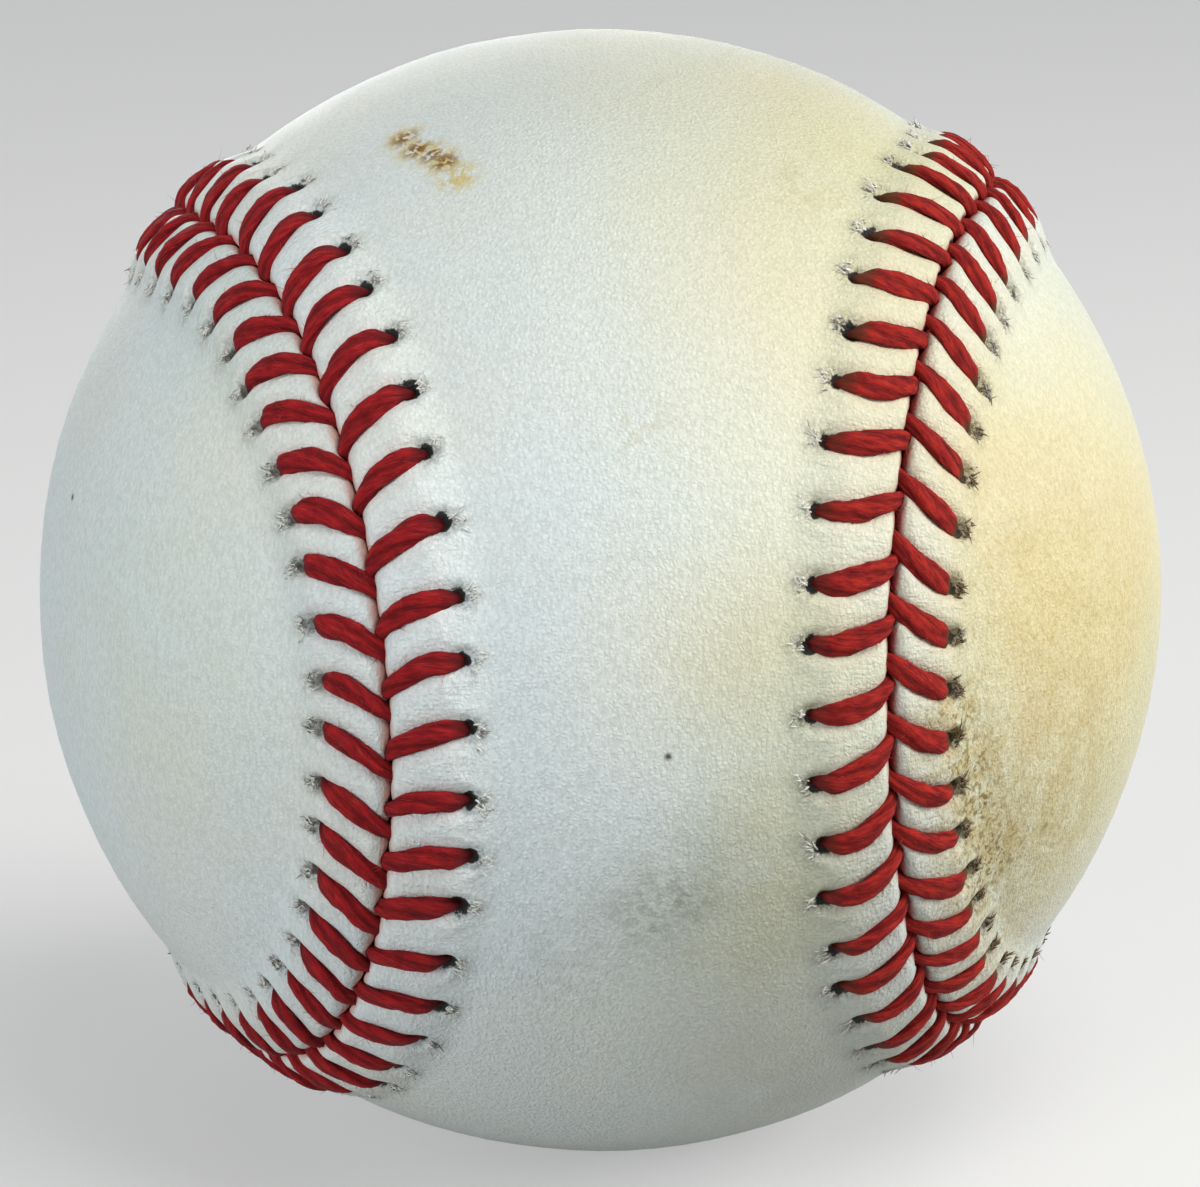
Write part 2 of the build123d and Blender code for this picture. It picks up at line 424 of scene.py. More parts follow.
@dataclass
class StitchPlan:
    """Where each stitch dives into the seam and comes out of its hole, on both panels.

    An arm of a stitch leaves its hole, bows back along the seam and dives in ahead of the hole.
    """

    seam: Seam
    rng: np.random.Generator
    phases: dict[Panel, float] = field(default_factory=lambda: {Panel.FRONT: 0.45, Panel.BACK: -0.15})
    crowding: float = 1.36
    drift: float = 0.42
    jitter: float = 0.1
    jitter_limit: float = 0.22
    lead: float = 1.85
    lead_skew: float = -0.5
    lead_spread: float = 0.16
    setback: float = 4.45
    setback_skew: float = 0.15
    setback_spread: float = 0.15
    bow: float = 0.42
    bow_spread: float = 0.07
    pull_spread: float = 0.12
    entries: dict[Panel, np.ndarray] = field(init=False)
    leads: dict[Panel, np.ndarray] = field(init=False)
    setbacks: dict[Panel, np.ndarray] = field(init=False)
    bows: dict[Panel, np.ndarray] = field(init=False)
    pulls: dict[Panel, np.ndarray] = field(init=False)

    def __post_init__(self) -> None:
        """Places the stitches, a little closer on the bends that face front and back."""
        self.entries, self.leads, self.setbacks, self.bows, self.pulls = {}, {}, {}, {}, {}
        pitch = self.seam.length / STITCHES
        for panel in Panel:
            even = (np.arange(STITCHES) + self.phases[panel]) * pitch
            turn = 4.0 * math.pi * (even - self.seam.right_bend) / self.seam.length
            jitter = self.rng.normal(0.0, self.jitter, STITCHES)
            jitter = np.clip(jitter, -self.jitter_limit, self.jitter_limit)
            even = even + self.drift * np.cos(turn / 2.0)
            self.entries[panel] = even - self.crowding * np.sin(turn) + jitter
            lead = self.lead + self.lead_skew * panel.value * np.cos(turn)
            self.leads[panel] = lead + self.rng.normal(0.0, self.lead_spread, STITCHES)
            setback = self.setback + self.setback_skew * panel.value
            self.setbacks[panel] = setback + self.rng.normal(0.0, self.setback_spread, STITCHES)
            self.bows[panel] = self.bow + self.rng.normal(0.0, self.bow_spread, STITCHES)
            self.pulls[panel] = 1.0 + self.rng.normal(0.0, self.pull_spread, STITCHES)

    def wrap(self, gap: np.ndarray) -> np.ndarray:
        """Way along the closed seam, brought to within half its length either way."""
        half = self.seam.length / 2.0
        return np.mod(gap + half, self.seam.length) - half

    def arm_way(self, panel: Panel, stitch: np.ndarray, share: np.ndarray) -> np.ndarray:
        """Way along the seam of a stitch arm.

        Args:
            panel: Panel the arm lies on.
            stitch: Number of the stitch.
            share: Way over the arm, 0 in the seam and 1 in the hole.

        Returns:
            The straight line from entry to hole less the bow, which is a parabola.
        """
        number = np.mod(stitch, STITCHES)
        bow = self.bows[panel][number] * 4.0 * share * (1.0 - share)
        return self.entries[panel][number] - self.leads[panel][number] * share - bow

    def nearest(self, panel: Panel, along: np.ndarray, across: np.ndarray) -> dict[str, np.ndarray]:
        """Nearest arm and hole of places on a panel.

        Args:
            panel: Panel the places are on.
            along: Way along the seam.
            across: Way from the seam, as a positive number.

        Returns:
            The number of the nearest arm, the signed way to it along the seam, the ways from the
            nearest hole along and across, and the pull of that stitch.
        """
        order = self.entries[panel]
        wound = np.mod(along - order[0], self.seam.length) + order[0]
        first = np.searchsorted(order, wound, side="right") - 1
        far = np.full(along.shape, FAR_AWAY)
        best = {"arm": first, "beside": far}
        holes = {"behind": far, "beyond": far}
        for step in (-1, 0, 1, 2):
            number = np.mod(first + step, STITCHES)
            setback = self.setbacks[panel][number]
            share = np.clip(across / setback, 0.0, 1.0)
            beside = self.wrap(along - self.arm_way(panel, number, share))
            nearer = np.abs(beside) < np.abs(best["beside"])
            best["arm"] = np.where(nearer, number, best["arm"])
            best["beside"] = np.where(nearer, beside, best["beside"])
            behind = self.wrap(along - self.arm_way(panel, number, np.ones_like(share)))
            beyond = across - setback
            away = np.hypot(behind, beyond)
            closer = away < far
            far = np.where(closer, away, far)
            holes["behind"] = np.where(closer, behind, holes["behind"])
            holes["beyond"] = np.where(closer, beyond, holes["beyond"])
        return {**best, **holes, "pull": self.pulls[panel][best["arm"]]}

    def entry_gap(self, along: np.ndarray) -> np.ndarray:
        """Way along the seam to the nearest place where a thread of either panel dives in."""
        every = np.sort(np.mod(np.concatenate(list(self.entries.values())), self.seam.length))
        every = np.concatenate([[every[-1] - self.seam.length], every, [every[0] + self.seam.length]])
        way = np.mod(along, self.seam.length)
        after = np.searchsorted(every, way)
        before = np.abs(way - every[after - 1])
        return np.minimum(before, np.abs(every[np.minimum(after, len(every) - 1)] - way))


class Wiring:
    """Shader nodes of one material, added and joined in single calls."""

    def __init__(self, name: str) -> None:
        """Starts an empty material with one principled surface."""
        self.material = bpy.data.materials.new(name)
        self.material.use_nodes = True
        self.tree = self.material.node_tree
        self.tree.nodes.clear()
        self.surface = self.tree.nodes.new("ShaderNodeBsdfPrincipled")
        output = self.tree.nodes.new("ShaderNodeOutputMaterial")
        self.tree.links.new(self.surface.outputs["BSDF"], output.inputs["Surface"])
        self.place = self.tree.nodes.new("ShaderNodeTexCoord").outputs["Object"]

    def give(self, socket: Socket, value: object) -> None:
        """Joins a socket to another, or sets its plain value."""
        if isinstance(value, bpy.types.NodeSocket):
            self.tree.links.new(value, socket)
        else:
            socket.default_value = value

    def attribute(self, name: str) -> Socket:
        """Number kept on the points of the piece."""
        node = self.tree.nodes.new("ShaderNodeAttribute")
        node.attribute_name = name
        return node.outputs["Fac"]

    def uv(self, name: str) -> Socket:
        """Places of a UV map of the piece."""
        node = self.tree.nodes.new("ShaderNodeUVMap")
        node.uv_map = name
        return node.outputs["UV"]

    def stretch(self, vector: Socket, scale: Place) -> Socket:
        """Vector with each axis multiplied by a plain number."""
        node = self.tree.nodes.new("ShaderNodeVectorMath")
        node.operation = "MULTIPLY"
        self.give(node.inputs[0], vector)
        self.give(node.inputs[1], scale)
        return node.outputs["Vector"]

    def split(self, vector: Socket) -> list[Socket]:
        """The three numbers of a vector."""
        node = self.tree.nodes.new("ShaderNodeSeparateXYZ")
        self.give(node.inputs[0], vector)
        return list(node.outputs)

    def math(self, operation: str, first: object, second: object = 0.0) -> Socket:
        """Result of one sum on two numbers."""
        node = self.tree.nodes.new("ShaderNodeMath")
        node.operation = operation
        self.give(node.inputs[0], first)
        self.give(node.inputs[1], second)
        return node.outputs[0]

    def ramp(self, value: object, low: float, high: float, top: float = 1.0) -> Socket:
        """Eased ramp from 0 at low to top at high."""
        node = self.tree.nodes.new("ShaderNodeMapRange")
        node.interpolation_type = "SMOOTHSTEP"
        for name, number in (("Value", value), ("From Min", low), ("From Max", high), ("To Max", top)):
            self.give(node.inputs[name], number)
        return node.outputs["Result"]

    def noise(self, scale: float, detail: float = 3.0, rough: float = 0.5, vector: object = None) -> Socket:
        """Cloudy noise from 0 to 1.

        Args:
            scale: Waves in one metre, or in one unit of the vector.
            detail: Number of finer layers.
            rough: Strength of the finer layers.
            vector: Places to use instead of the object's own.

        Returns:
            The noise.
        """
        node = self.tree.nodes.new("ShaderNodeTexNoise")
        self.give(node.inputs["Vector"], self.place if vector is None else vector)
        for name, number in (("Scale", scale), ("Detail", detail), ("Roughness", rough)):
            node.inputs[name].default_value = number
        return node.outputs[0]

    def cells(self, scale: float, feature: str = "DISTANCE_TO_EDGE") -> Socket:
        """Pebble pattern: the way from the edge or the middle of each cell."""
        node = self.tree.nodes.new("ShaderNodeTexVoronoi")
        node.feature = feature
        self.give(node.inputs["Vector"], self.place)
        node.inputs["Scale"].default_value = scale
        return node.outputs["Distance"]

    def mix(self, share: object, first: object, second: object, blend: str = "MIX") -> Socket:
        """Two colours blended by a share."""
        node = self.tree.nodes.new("ShaderNodeMix")
        node.data_type = "RGBA"
        node.blend_type = blend
        self.give(node.inputs[0], share)
        for socket, value in ((node.inputs[6], first), (node.inputs[7], second)):
            self.give(socket, (*value, 1.0) if isinstance(value, tuple) else value)
        return node.outputs[2]

    def away(self, centre: Place) -> Socket:
        """Way in metres from a place given in millimetres."""
        node = self.tree.nodes.new("ShaderNodeVectorMath")
        node.operation = "DISTANCE"
        self.give(node.inputs[0], self.place)
        self.give(node.inputs[1], tuple(number * MM for number in centre))
        return node.outputs["Value"]

    def bump(self, height: object, depth: float, strength: float, under: object = None) -> Socket:
        """Normal bent by a height that is depth millimetres at 1.

        Args:
            height: Height from 0 to 1.
            depth: Depth in millimetres.
            strength: Share of the bend that is kept.
            under: Normal to bend further.

        Returns:
            The bent normal.
        """
        node = self.tree.nodes.new("ShaderNodeBump")
        node.inputs["Strength"].default_value = strength
        node.inputs["Distance"].default_value = depth * MM
        self.give(node.inputs["Height"], height)
        if under is not None:
            self.give(node.inputs["Normal"], under)
        return node.outputs["Normal"]

    def soiled(self, right: float, top: float = 1.0) -> Socket:
        """Share of soil on the front of the ball.

        Args:
            right: Way to the right in millimetres at which the soil is full.
            top: Share where it is full.

        Returns:
            An eased ramp to the right times one towards the front.
        """
        side, depth, _ = self.split(self.place)
        grown = self.ramp(side, SOIL_LEFT * MM, right * MM, top)
        return self.math("MULTIPLY", grown, self.ramp(depth, SOIL_BACK * MM, SOIL_FULL_FRONT * MM))

    def finish(self, colour: object, rough: object, normal: object = None) -> bpy.types.Material:
        """Sets the surface's colour, roughness and normal and gives the material."""
        self.give(self.surface.inputs["Base Color"], colour)
        self.give(self.surface.inputs["Roughness"], rough)
        if normal is not None:
            self.give(self.surface.inputs["Normal"], normal)
        return self.material


@dataclass(frozen=True)
class Mark:
    """A soft-edged stain on the hide, or a patch of painted shade, which multiplies the colour under it.

    Each of its middles is given by two angles in degrees: to the right of the front, and up.
    """

    middles: tuple[Span, ...]
    reach: float
    colour: Colour
    strength: float
    grain: float
    low: float = 0.35
    high: float = 0.65
    core: float = 0.15

    @staticmethod
    def _place(right: float, up: float) -> Place:
        """Place on the ball at an angle to the right of the front and an angle up."""
        level = BALL_RADIUS * math.cos(math.radians(up))
        turn = math.radians(right)
        return level * math.sin(turn), -level * math.cos(turn), BALL_RADIUS * math.sin(math.radians(up))

    def lay(self, wiring: Wiring, colour: Socket) -> Socket:
        """Lays the stain or painted shade over a colour: a fade round the nearest middle, broken up by
        noise.

        Args:
            wiring: Nodes of the hide.
            colour: Colour under the stain.

        Returns:
            The stained colour.
        """
        away = wiring.away(self._place(*self.middles[0]))
        for middle in self.middles[1:]:
            away = wiring.math("MINIMUM", away, wiring.away(self._place(*middle)))
        fade = wiring.ramp(away, self.reach * MM, self.reach * MM * self.core, self.strength)
        broken = wiring.ramp(wiring.noise(self.grain, detail=5.0, rough=0.62), self.low, self.high)
        return wiring.mix(wiring.math("MULTIPLY", fade, broken), colour, self.colour, "MULTIPLY")


@dataclass(frozen=True)
class LeatherFinish:
    """White grained hide, stained by use, with painted shade over the top and in the stitch holes. Scales
    are waves in one metre, and ways are millimetres.
    """

    marks: tuple[Mark, ...]
    soiled: float
    # Painted shade of the stitch holes, and its share away from soil; the back's brown holes are shade and
    # soil
    pit: Colour = (0.010, 0.008, 0.007)
    hollow: float = 1.0
    clean: Colour = (0.665, 0.735, 0.74)
    warm: Colour = (0.705, 0.73, 0.68)
    crease: Colour = (0.92, 0.92, 0.915)
    tooth: Colour = (0.88, 0.88, 0.87)
    dirt: Colour = (0.54, 0.33, 0.28)
    dye: Colour = (0.26, 0.016, 0.016)
    blush: Colour = (0.96, 0.70, 0.68)
    blush_strength: float = 0.5
    torn: Colour = (0.46, 0.45, 0.42)
    torn_soil: Colour = (0.30, 0.21, 0.09)
    # Loose fibres: a lit colour, a soiled one, and a painted shade
    lint: Colour = (0.72, 0.71, 0.66)
    lint_soil: Colour = (0.12, 0.075, 0.03)
    lint_shade: Colour = (0.20, 0.18, 0.15)
    cloud_scale: float = 45.0
    pebble_scale: float = 3300.0
    tooth_scales: Place = (4200.0, 4200.0, 1900.0)
    fray_scale: float = 2100.0
    lint_scale: float = 1500.0
    swell_scale: float = 420.0
    gloss_scale: float = 300.0
    crease_scales: Place = (2.4, 0.55, 1.0)
    raggedness: float = 0.9
    bleed: Span = (-8.0, 12.0)
    soil_right: float = 17.0
    dry: Span = (14.0, -20.0)
    dryness: float = 1.2
    rough: float = 0.47
    rough_spread: float = 0.16
    specular: float = 0.42

    def material(self, name: str) -> bpy.types.Material:
        """Builds the material: cloudy white, stains, a patch of painted shade over the top, seam dirt, holes
        painted dark as shade, and pebble grain.
        """
        wiring = Wiring(name)
        pebble = wiring.ramp(wiring.cells(self.pebble_scale), 0.0, 0.4)
        tooth = wiring.noise(1.0, 3.0, 0.55, wiring.stretch(wiring.place, self.tooth_scales))
        fray = wiring.noise(self.fray_scale, detail=4.0, rough=0.7)
        colour = self._sewn(wiring, self._ground(wiring, pebble, tooth), fray)
        normal = self._grain(wiring, pebble, tooth, fray)
        rough = wiring.math("MULTIPLY_ADD", wiring.noise(self.gloss_scale), self.rough_spread)
        rough.node.inputs[2].default_value = self.rough
        wiring.surface.inputs["Specular IOR Level"].default_value = self.specular
        return wiring.finish(colour, rough, normal)

    def _ground(self, wiring: Wiring, pebble: Socket, tooth: Socket) -> Socket:
        """Colour of the plain hide: cloudy white under the stains and the patch of painted shade, darker in
        its grain.

        Args:
            wiring: Nodes of the hide.
            pebble: Height of the pebbles.
            tooth: Height of the fine grain.

        Returns:
            The colour.
        """
        cloud = wiring.ramp(wiring.noise(self.cloud_scale), 0.35, 0.7)
        colour = wiring.mix(cloud, self.clean, self.warm)
        # The marks are stains, except one patch of painted shade over the top of the ball
        for mark in self.marks:
            colour = mark.lay(wiring, colour)
        colour = wiring.mix(wiring.math("SUBTRACT", 1.0, pebble), colour, self.crease, "MULTIPLY")
        return wiring.mix(wiring.ramp(tooth, 0.62, 0.36), colour, self.tooth, "MULTIPLY")

    def _sewn(self, wiring: Wiring, colour: Socket, fray: Socket) -> Socket:
        """Adds what sewing leaves: dirt or dye in the gap, blush, ragged holes painted dark as shade, and
        loose fibres painted in a lit and a shaded colour.

        Args:
            wiring: Nodes of the hide.
            colour: Colour of the plain hide.
            fray: Noise that breaks up the holes.

        Returns:
            The colour with the traces of the sewing.
        """
        side, _, level = wiring.split(wiring.place)
        low = wiring.ramp(level, SOIL_TOP * MM, SOIL_FULL_LEVEL * MM)
        soiled = wiring.math("MULTIPLY", wiring.soiled(self.soil_right, self.soiled), low)
        bleed = wiring.ramp(side, self.bleed[0] * MM, self.bleed[1] * MM)
        gap = wiring.ramp(wiring.attribute("gap"), 0.15, 0.9, 0.96)
        colour = wiring.mix(gap, colour, wiring.mix(bleed, self.dirt, self.dye))
        blush = wiring.math("MULTIPLY", wiring.attribute("blush"), self.blush_strength)
        colour = wiring.mix(blush, colour, self.blush, "MULTIPLY")
        torn = wiring.math("MULTIPLY", wiring.attribute("torn"), wiring.ramp(fray, 0.49, 0.54))
        colour = wiring.mix(torn, colour, wiring.mix(soiled, self.torn, self.torn_soil), "MULTIPLY")
        # Painted shade in each stitch hole, broken up at its edge, full where the hide is soiled
        uneven = wiring.math("MULTIPLY", wiring.math("SUBTRACT", fray, 0.5), self.raggedness)
        hole = wiring.ramp(wiring.math("ADD", wiring.attribute("pit"), uneven), 0.46, 0.60)
        hole = wiring.math("MULTIPLY", hole, wiring.math("MAXIMUM", soiled, self.hollow))
        colour = wiring.mix(hole, colour, self.pit)
        # Painted light and shade: noise gives each loose fibre its lit colour or the shaded one
        lit = wiring.ramp(wiring.noise(self.lint_scale, detail=2.0), 0.36, 0.46)
        lint = wiring.mix(lit, self.lint_shade, wiring.mix(soiled, self.lint, self.lint_soil))
        return wiring.mix(wiring.attribute("fibre"), colour, lint)

    def _grain(self, wiring: Wiring, pebble: Socket, tooth: Socket, fray: Socket) -> Socket:
        """Normal of the hide: swells, creases beside the seam, pebbles, fine grain and torn places.

        Args:
            wiring: Nodes of the hide.
            pebble: Height of the pebbles.
            tooth: Height of the fine grain, which is deeper low on the ball.
            fray: Height of the torn places.

        Returns:
            The bent normal.
        """
        crease = wiring.noise(1.0, 3.0, 0.6, wiring.stretch(wiring.uv("seam"), self.crease_scales))
        level = wiring.split(wiring.place)[2]
        dry = wiring.ramp(level, self.dry[0] * MM, self.dry[1] * MM, self.dryness)
        layers = (
            (wiring.noise(self.swell_scale), 0.10, 0.5),
            (wiring.math("MULTIPLY", crease, wiring.attribute("pillow")), 0.22, 0.6),
            (pebble, 0.045, 0.55),
            (wiring.math("MULTIPLY", tooth, wiring.math("ADD", dry, 1.0)), 0.11, 0.6),
            (wiring.math("MULTIPLY", fray, wiring.attribute("torn")), 0.5, 0.8),
        )
        normal = None
        for height, depth, strength in layers:
            normal = wiring.bump(height, depth, strength, normal)
        return normal


@dataclass(frozen=True)
class ThreadFinish:
    """Waxed red thread with its fibres laid along the plies, painted warm light on the right, and painted
    shade in the ply grooves and at the sunk ends. Ways are millimetres.
    """

    deep: Colour = (0.15, 0.004, 0.008)
    bright: Colour = (0.37, 0.011, 0.014)
    worn: Colour = (0.54, 0.06, 0.045)
    # Red of the thread on the right of the ball, which is painted warm light
    painted_warm_light: Colour = (0.42, 0.022, 0.012)
    # Painted shade in the grooves between the plies
    groove: Colour = (0.30, 0.22, 0.22)
    # Painted shade on the ends of the arms that sink into the holes
    tip: Colour = (0.05, 0.004, 0.006)
    soil: Colour = (0.09, 0.055, 0.02)
    fuzz: Colour = (0.42, 0.045, 0.04)
    fibre_scales: Place = (52.0, 0.85, 1.0)
    streak_scales: Place = (14.0, 0.9, 1.0)
    # Way to the right over which the painted warm light comes in
    painted_warm_light_span: Span = (-6.0, 16.0)
    soil_right: float = 21.0
    rough: float = 0.7
    sheen: float = 0.02
    sheen_rough: float = 0.5
    specular: float = 0.11

    def material(self, name: str) -> bpy.types.Material:
        """Builds the material: streaks along the fibres, painted warm light to the right, painted shade in
        the grooves between the plies and at the sunk ends, soiled ends.
        """
        wiring = Wiring(name)
        lay = wiring.uv("lay")
        fibre = wiring.noise(1.0, 4.0, 0.7, wiring.stretch(lay, self.fibre_scales))
        streak = wiring.noise(1.0, 3.0, 0.6, wiring.stretch(lay, self.streak_scales))
        # Painted warm light: the red turns more orange towards the right of the ball
        side = wiring.split(wiring.place)[0]
        painted_warm_light = wiring.ramp(side, self.painted_warm_light_span[0] * MM, self.painted_warm_light_span[1] * MM)
        red = wiring.mix(painted_warm_light, self.bright, self.painted_warm_light)
        colour = wiring.mix(wiring.ramp(streak, 0.3, 0.7), self.deep, red)
        colour = wiring.mix(wiring.ramp(fibre, 0.52, 0.72, 0.65), colour, self.worn)
        # Painted shade: the grooves between the plies are darkened
        groove = wiring.ramp(wiring.attribute("groove"), 0.2, 1.0, 0.6)
        colour = wiring.mix(groove, colour, self.groove, "MULTIPLY")
        # Painted shade where the arms sink into their holes; soil on those ends follows
        tip = wiring.attribute("tip")
        colour = wiring.mix(wiring.ramp(tip, 0.55, 1.0, 0.6), colour, self.tip)
        soiled = wiring.math("MULTIPLY", wiring.soiled(self.soil_right), wiring.ramp(tip, 0.5, 1.0, 0.85))
        colour = wiring.mix(soiled, colour, self.soil)
        colour = wiring.mix(wiring.attribute("fibre"), colour, self.fuzz)
        wiring.surface.inputs["Sheen Weight"].default_value = self.sheen
        wiring.surface.inputs["Sheen Roughness"].default_value = self.sheen_rough
        wiring.surface.inputs["Specular IOR Level"].default_value = self.specular
        return wiring.finish(colour, self.rough, wiring.bump(fibre, 0.14, 0.85))


@dataclass(frozen=True)
class GrainFinish:
    """Plain stuff of the core: two colours in grains or clouds, with a bump."""

    first: Colour
    second: Colour
    scale: float
    rough: float
    depth: float
    grains: bool = False
    fine_scale: float = 4.0
    fine_depth: float = 0.4

    def material(self, name: str) -> bpy.types.Material:
        """Builds the material from one pattern for the colour and the bump."""
        wiring = Wiring(name)
        pattern = wiring.cells(self.scale, "F1") if self.grains else wiring.noise(self.scale, 5.0, 0.6)
        fine = wiring.noise(self.scale * self.fine_scale)
        colour = wiring.mix(wiring.ramp(pattern, 0.25, 0.7), self.first, self.second)
        coarse = wiring.bump(pattern, self.depth, 0.6)
        normal = wiring.bump(fine, self.depth * self.fine_depth, 0.5, coarse)
        return wiring.finish(colour, self.rough, normal)


@dataclass(frozen=True)
class YarnFinish:
    """Spun yarn: plies that wind round the strand, with painted shade between them, and loose fibres."""

    dark: Colour
    light: Colour
    plies: float
    lay: float
    fuzz_scale: float = 3600.0
    fleck_scale: float = 420.0
    rough: float = 0.92
    sheen: float = 0.15

    def material(self, name: str) -> bpy.types.Material:
        """Builds the material: a slanted band for each ply with painted shade in the grooves, flecks and
        fuzz.
        """
        wiring = Wiring(name)
        round_way, long_way, _ = wiring.split(wiring.uv("lay"))
        slant = wiring.math("MULTIPLY_ADD", long_way, 1.0 / self.lay)
        wiring.give(slant.node.inputs[2], wiring.math("MULTIPLY", round_way, self.plies))
        wave = wiring.math("SINE", wiring.math("MULTIPLY", slant, 2.0 * math.pi))
        ply = wiring.ramp(wave, -1.0, 0.6)
        fuzz = wiring.noise(self.fuzz_scale, detail=4.0, rough=0.65)
        fleck = wiring.noise(self.fleck_scale, rough=0.6)
        # Painted shade: the colour goes dark in the groove between plies, where the ply bump is low
        colour = wiring.mix(ply, self.dark, self.light)
        colour = wiring.mix(wiring.ramp(fleck, 0.5, 0.72, 0.45), colour, self.dark)
        colour = wiring.mix(wiring.ramp(fuzz, 0.5, 0.75, 0.5), colour, self.light)
        normal = wiring.bump(fuzz, 0.12, 0.7, wiring.bump(ply, 0.15, 0.7))
        wiring.surface.inputs["Sheen Weight"].default_value = self.sheen
        return wiring.finish(colour, self.rough, normal)


@dataclass(frozen=True)
class HideRelief:
    """Sizes of the forms that sewing leaves in a hide, in millimetres.

    A pair is where a form begins and where it is full, counted from the seam or from the hole.
    """

    puff: float = 0.16
    groove_depth: float = 0.46
    groove_half_width: float = 0.78
    arm_start: Span = (0.0, 0.9)
    arm_end: Span = (5.2, 3.7)
    roll_reach: float = 1.0
    roll_depth: float = 0.8
    roll_share: float = 0.96
    dip_depth: float = 0.35
    dip_half_width: float = 0.8
    dip_reach: Span = (1.2, 0.0)
    pit_setback: float = 0.12
    pit_depth: float = 0.62
    pit_half_width: float = 0.66
    lip_height: float = 0.13
    lip_radius: float = 1.05
    lip_half_width: float = 0.38
    lip_start: Span = (-0.6, 0.5)
    drawn_depth: float = 0.2
    drawn_half_width: float = 0.95
    drawn_start: Span = (-0.4, 0.5)
    drawn_end: Span = (3.4, 0.5)
    hole_shift: float = 0.06
    hole_setback: float = 0.24
    tear_setback: float = 0.55
    tear_half_width: float = 0.85
    tear_stretches: Span = (1.1, 0.9)
    tear_start: Span = (-0.6, 0.2)
    gap_half_width: float = 0.42
    blush_half_width: float = 1.15
    pillow_start: Span = (0.2, 1.2)
    pillow_end: Span = (6.4, 4.6)


@dataclass(frozen=True)
class TornFibres:
    """Fibres torn out of the hide behind each hole: their number, their sizes and how they lie."""

    count: int = 12
    scatter: float = 0.36
    spread: float = 0.6
    sink: float = 0.12
    lean: float = 0.55
    rise: Span = (0.05, 0.5)
    droop: Span = (-0.7, 0.2)
    sway: float = 0.5
    lengths: Span = (0.25, 0.8)
    thickness: float = 0.15


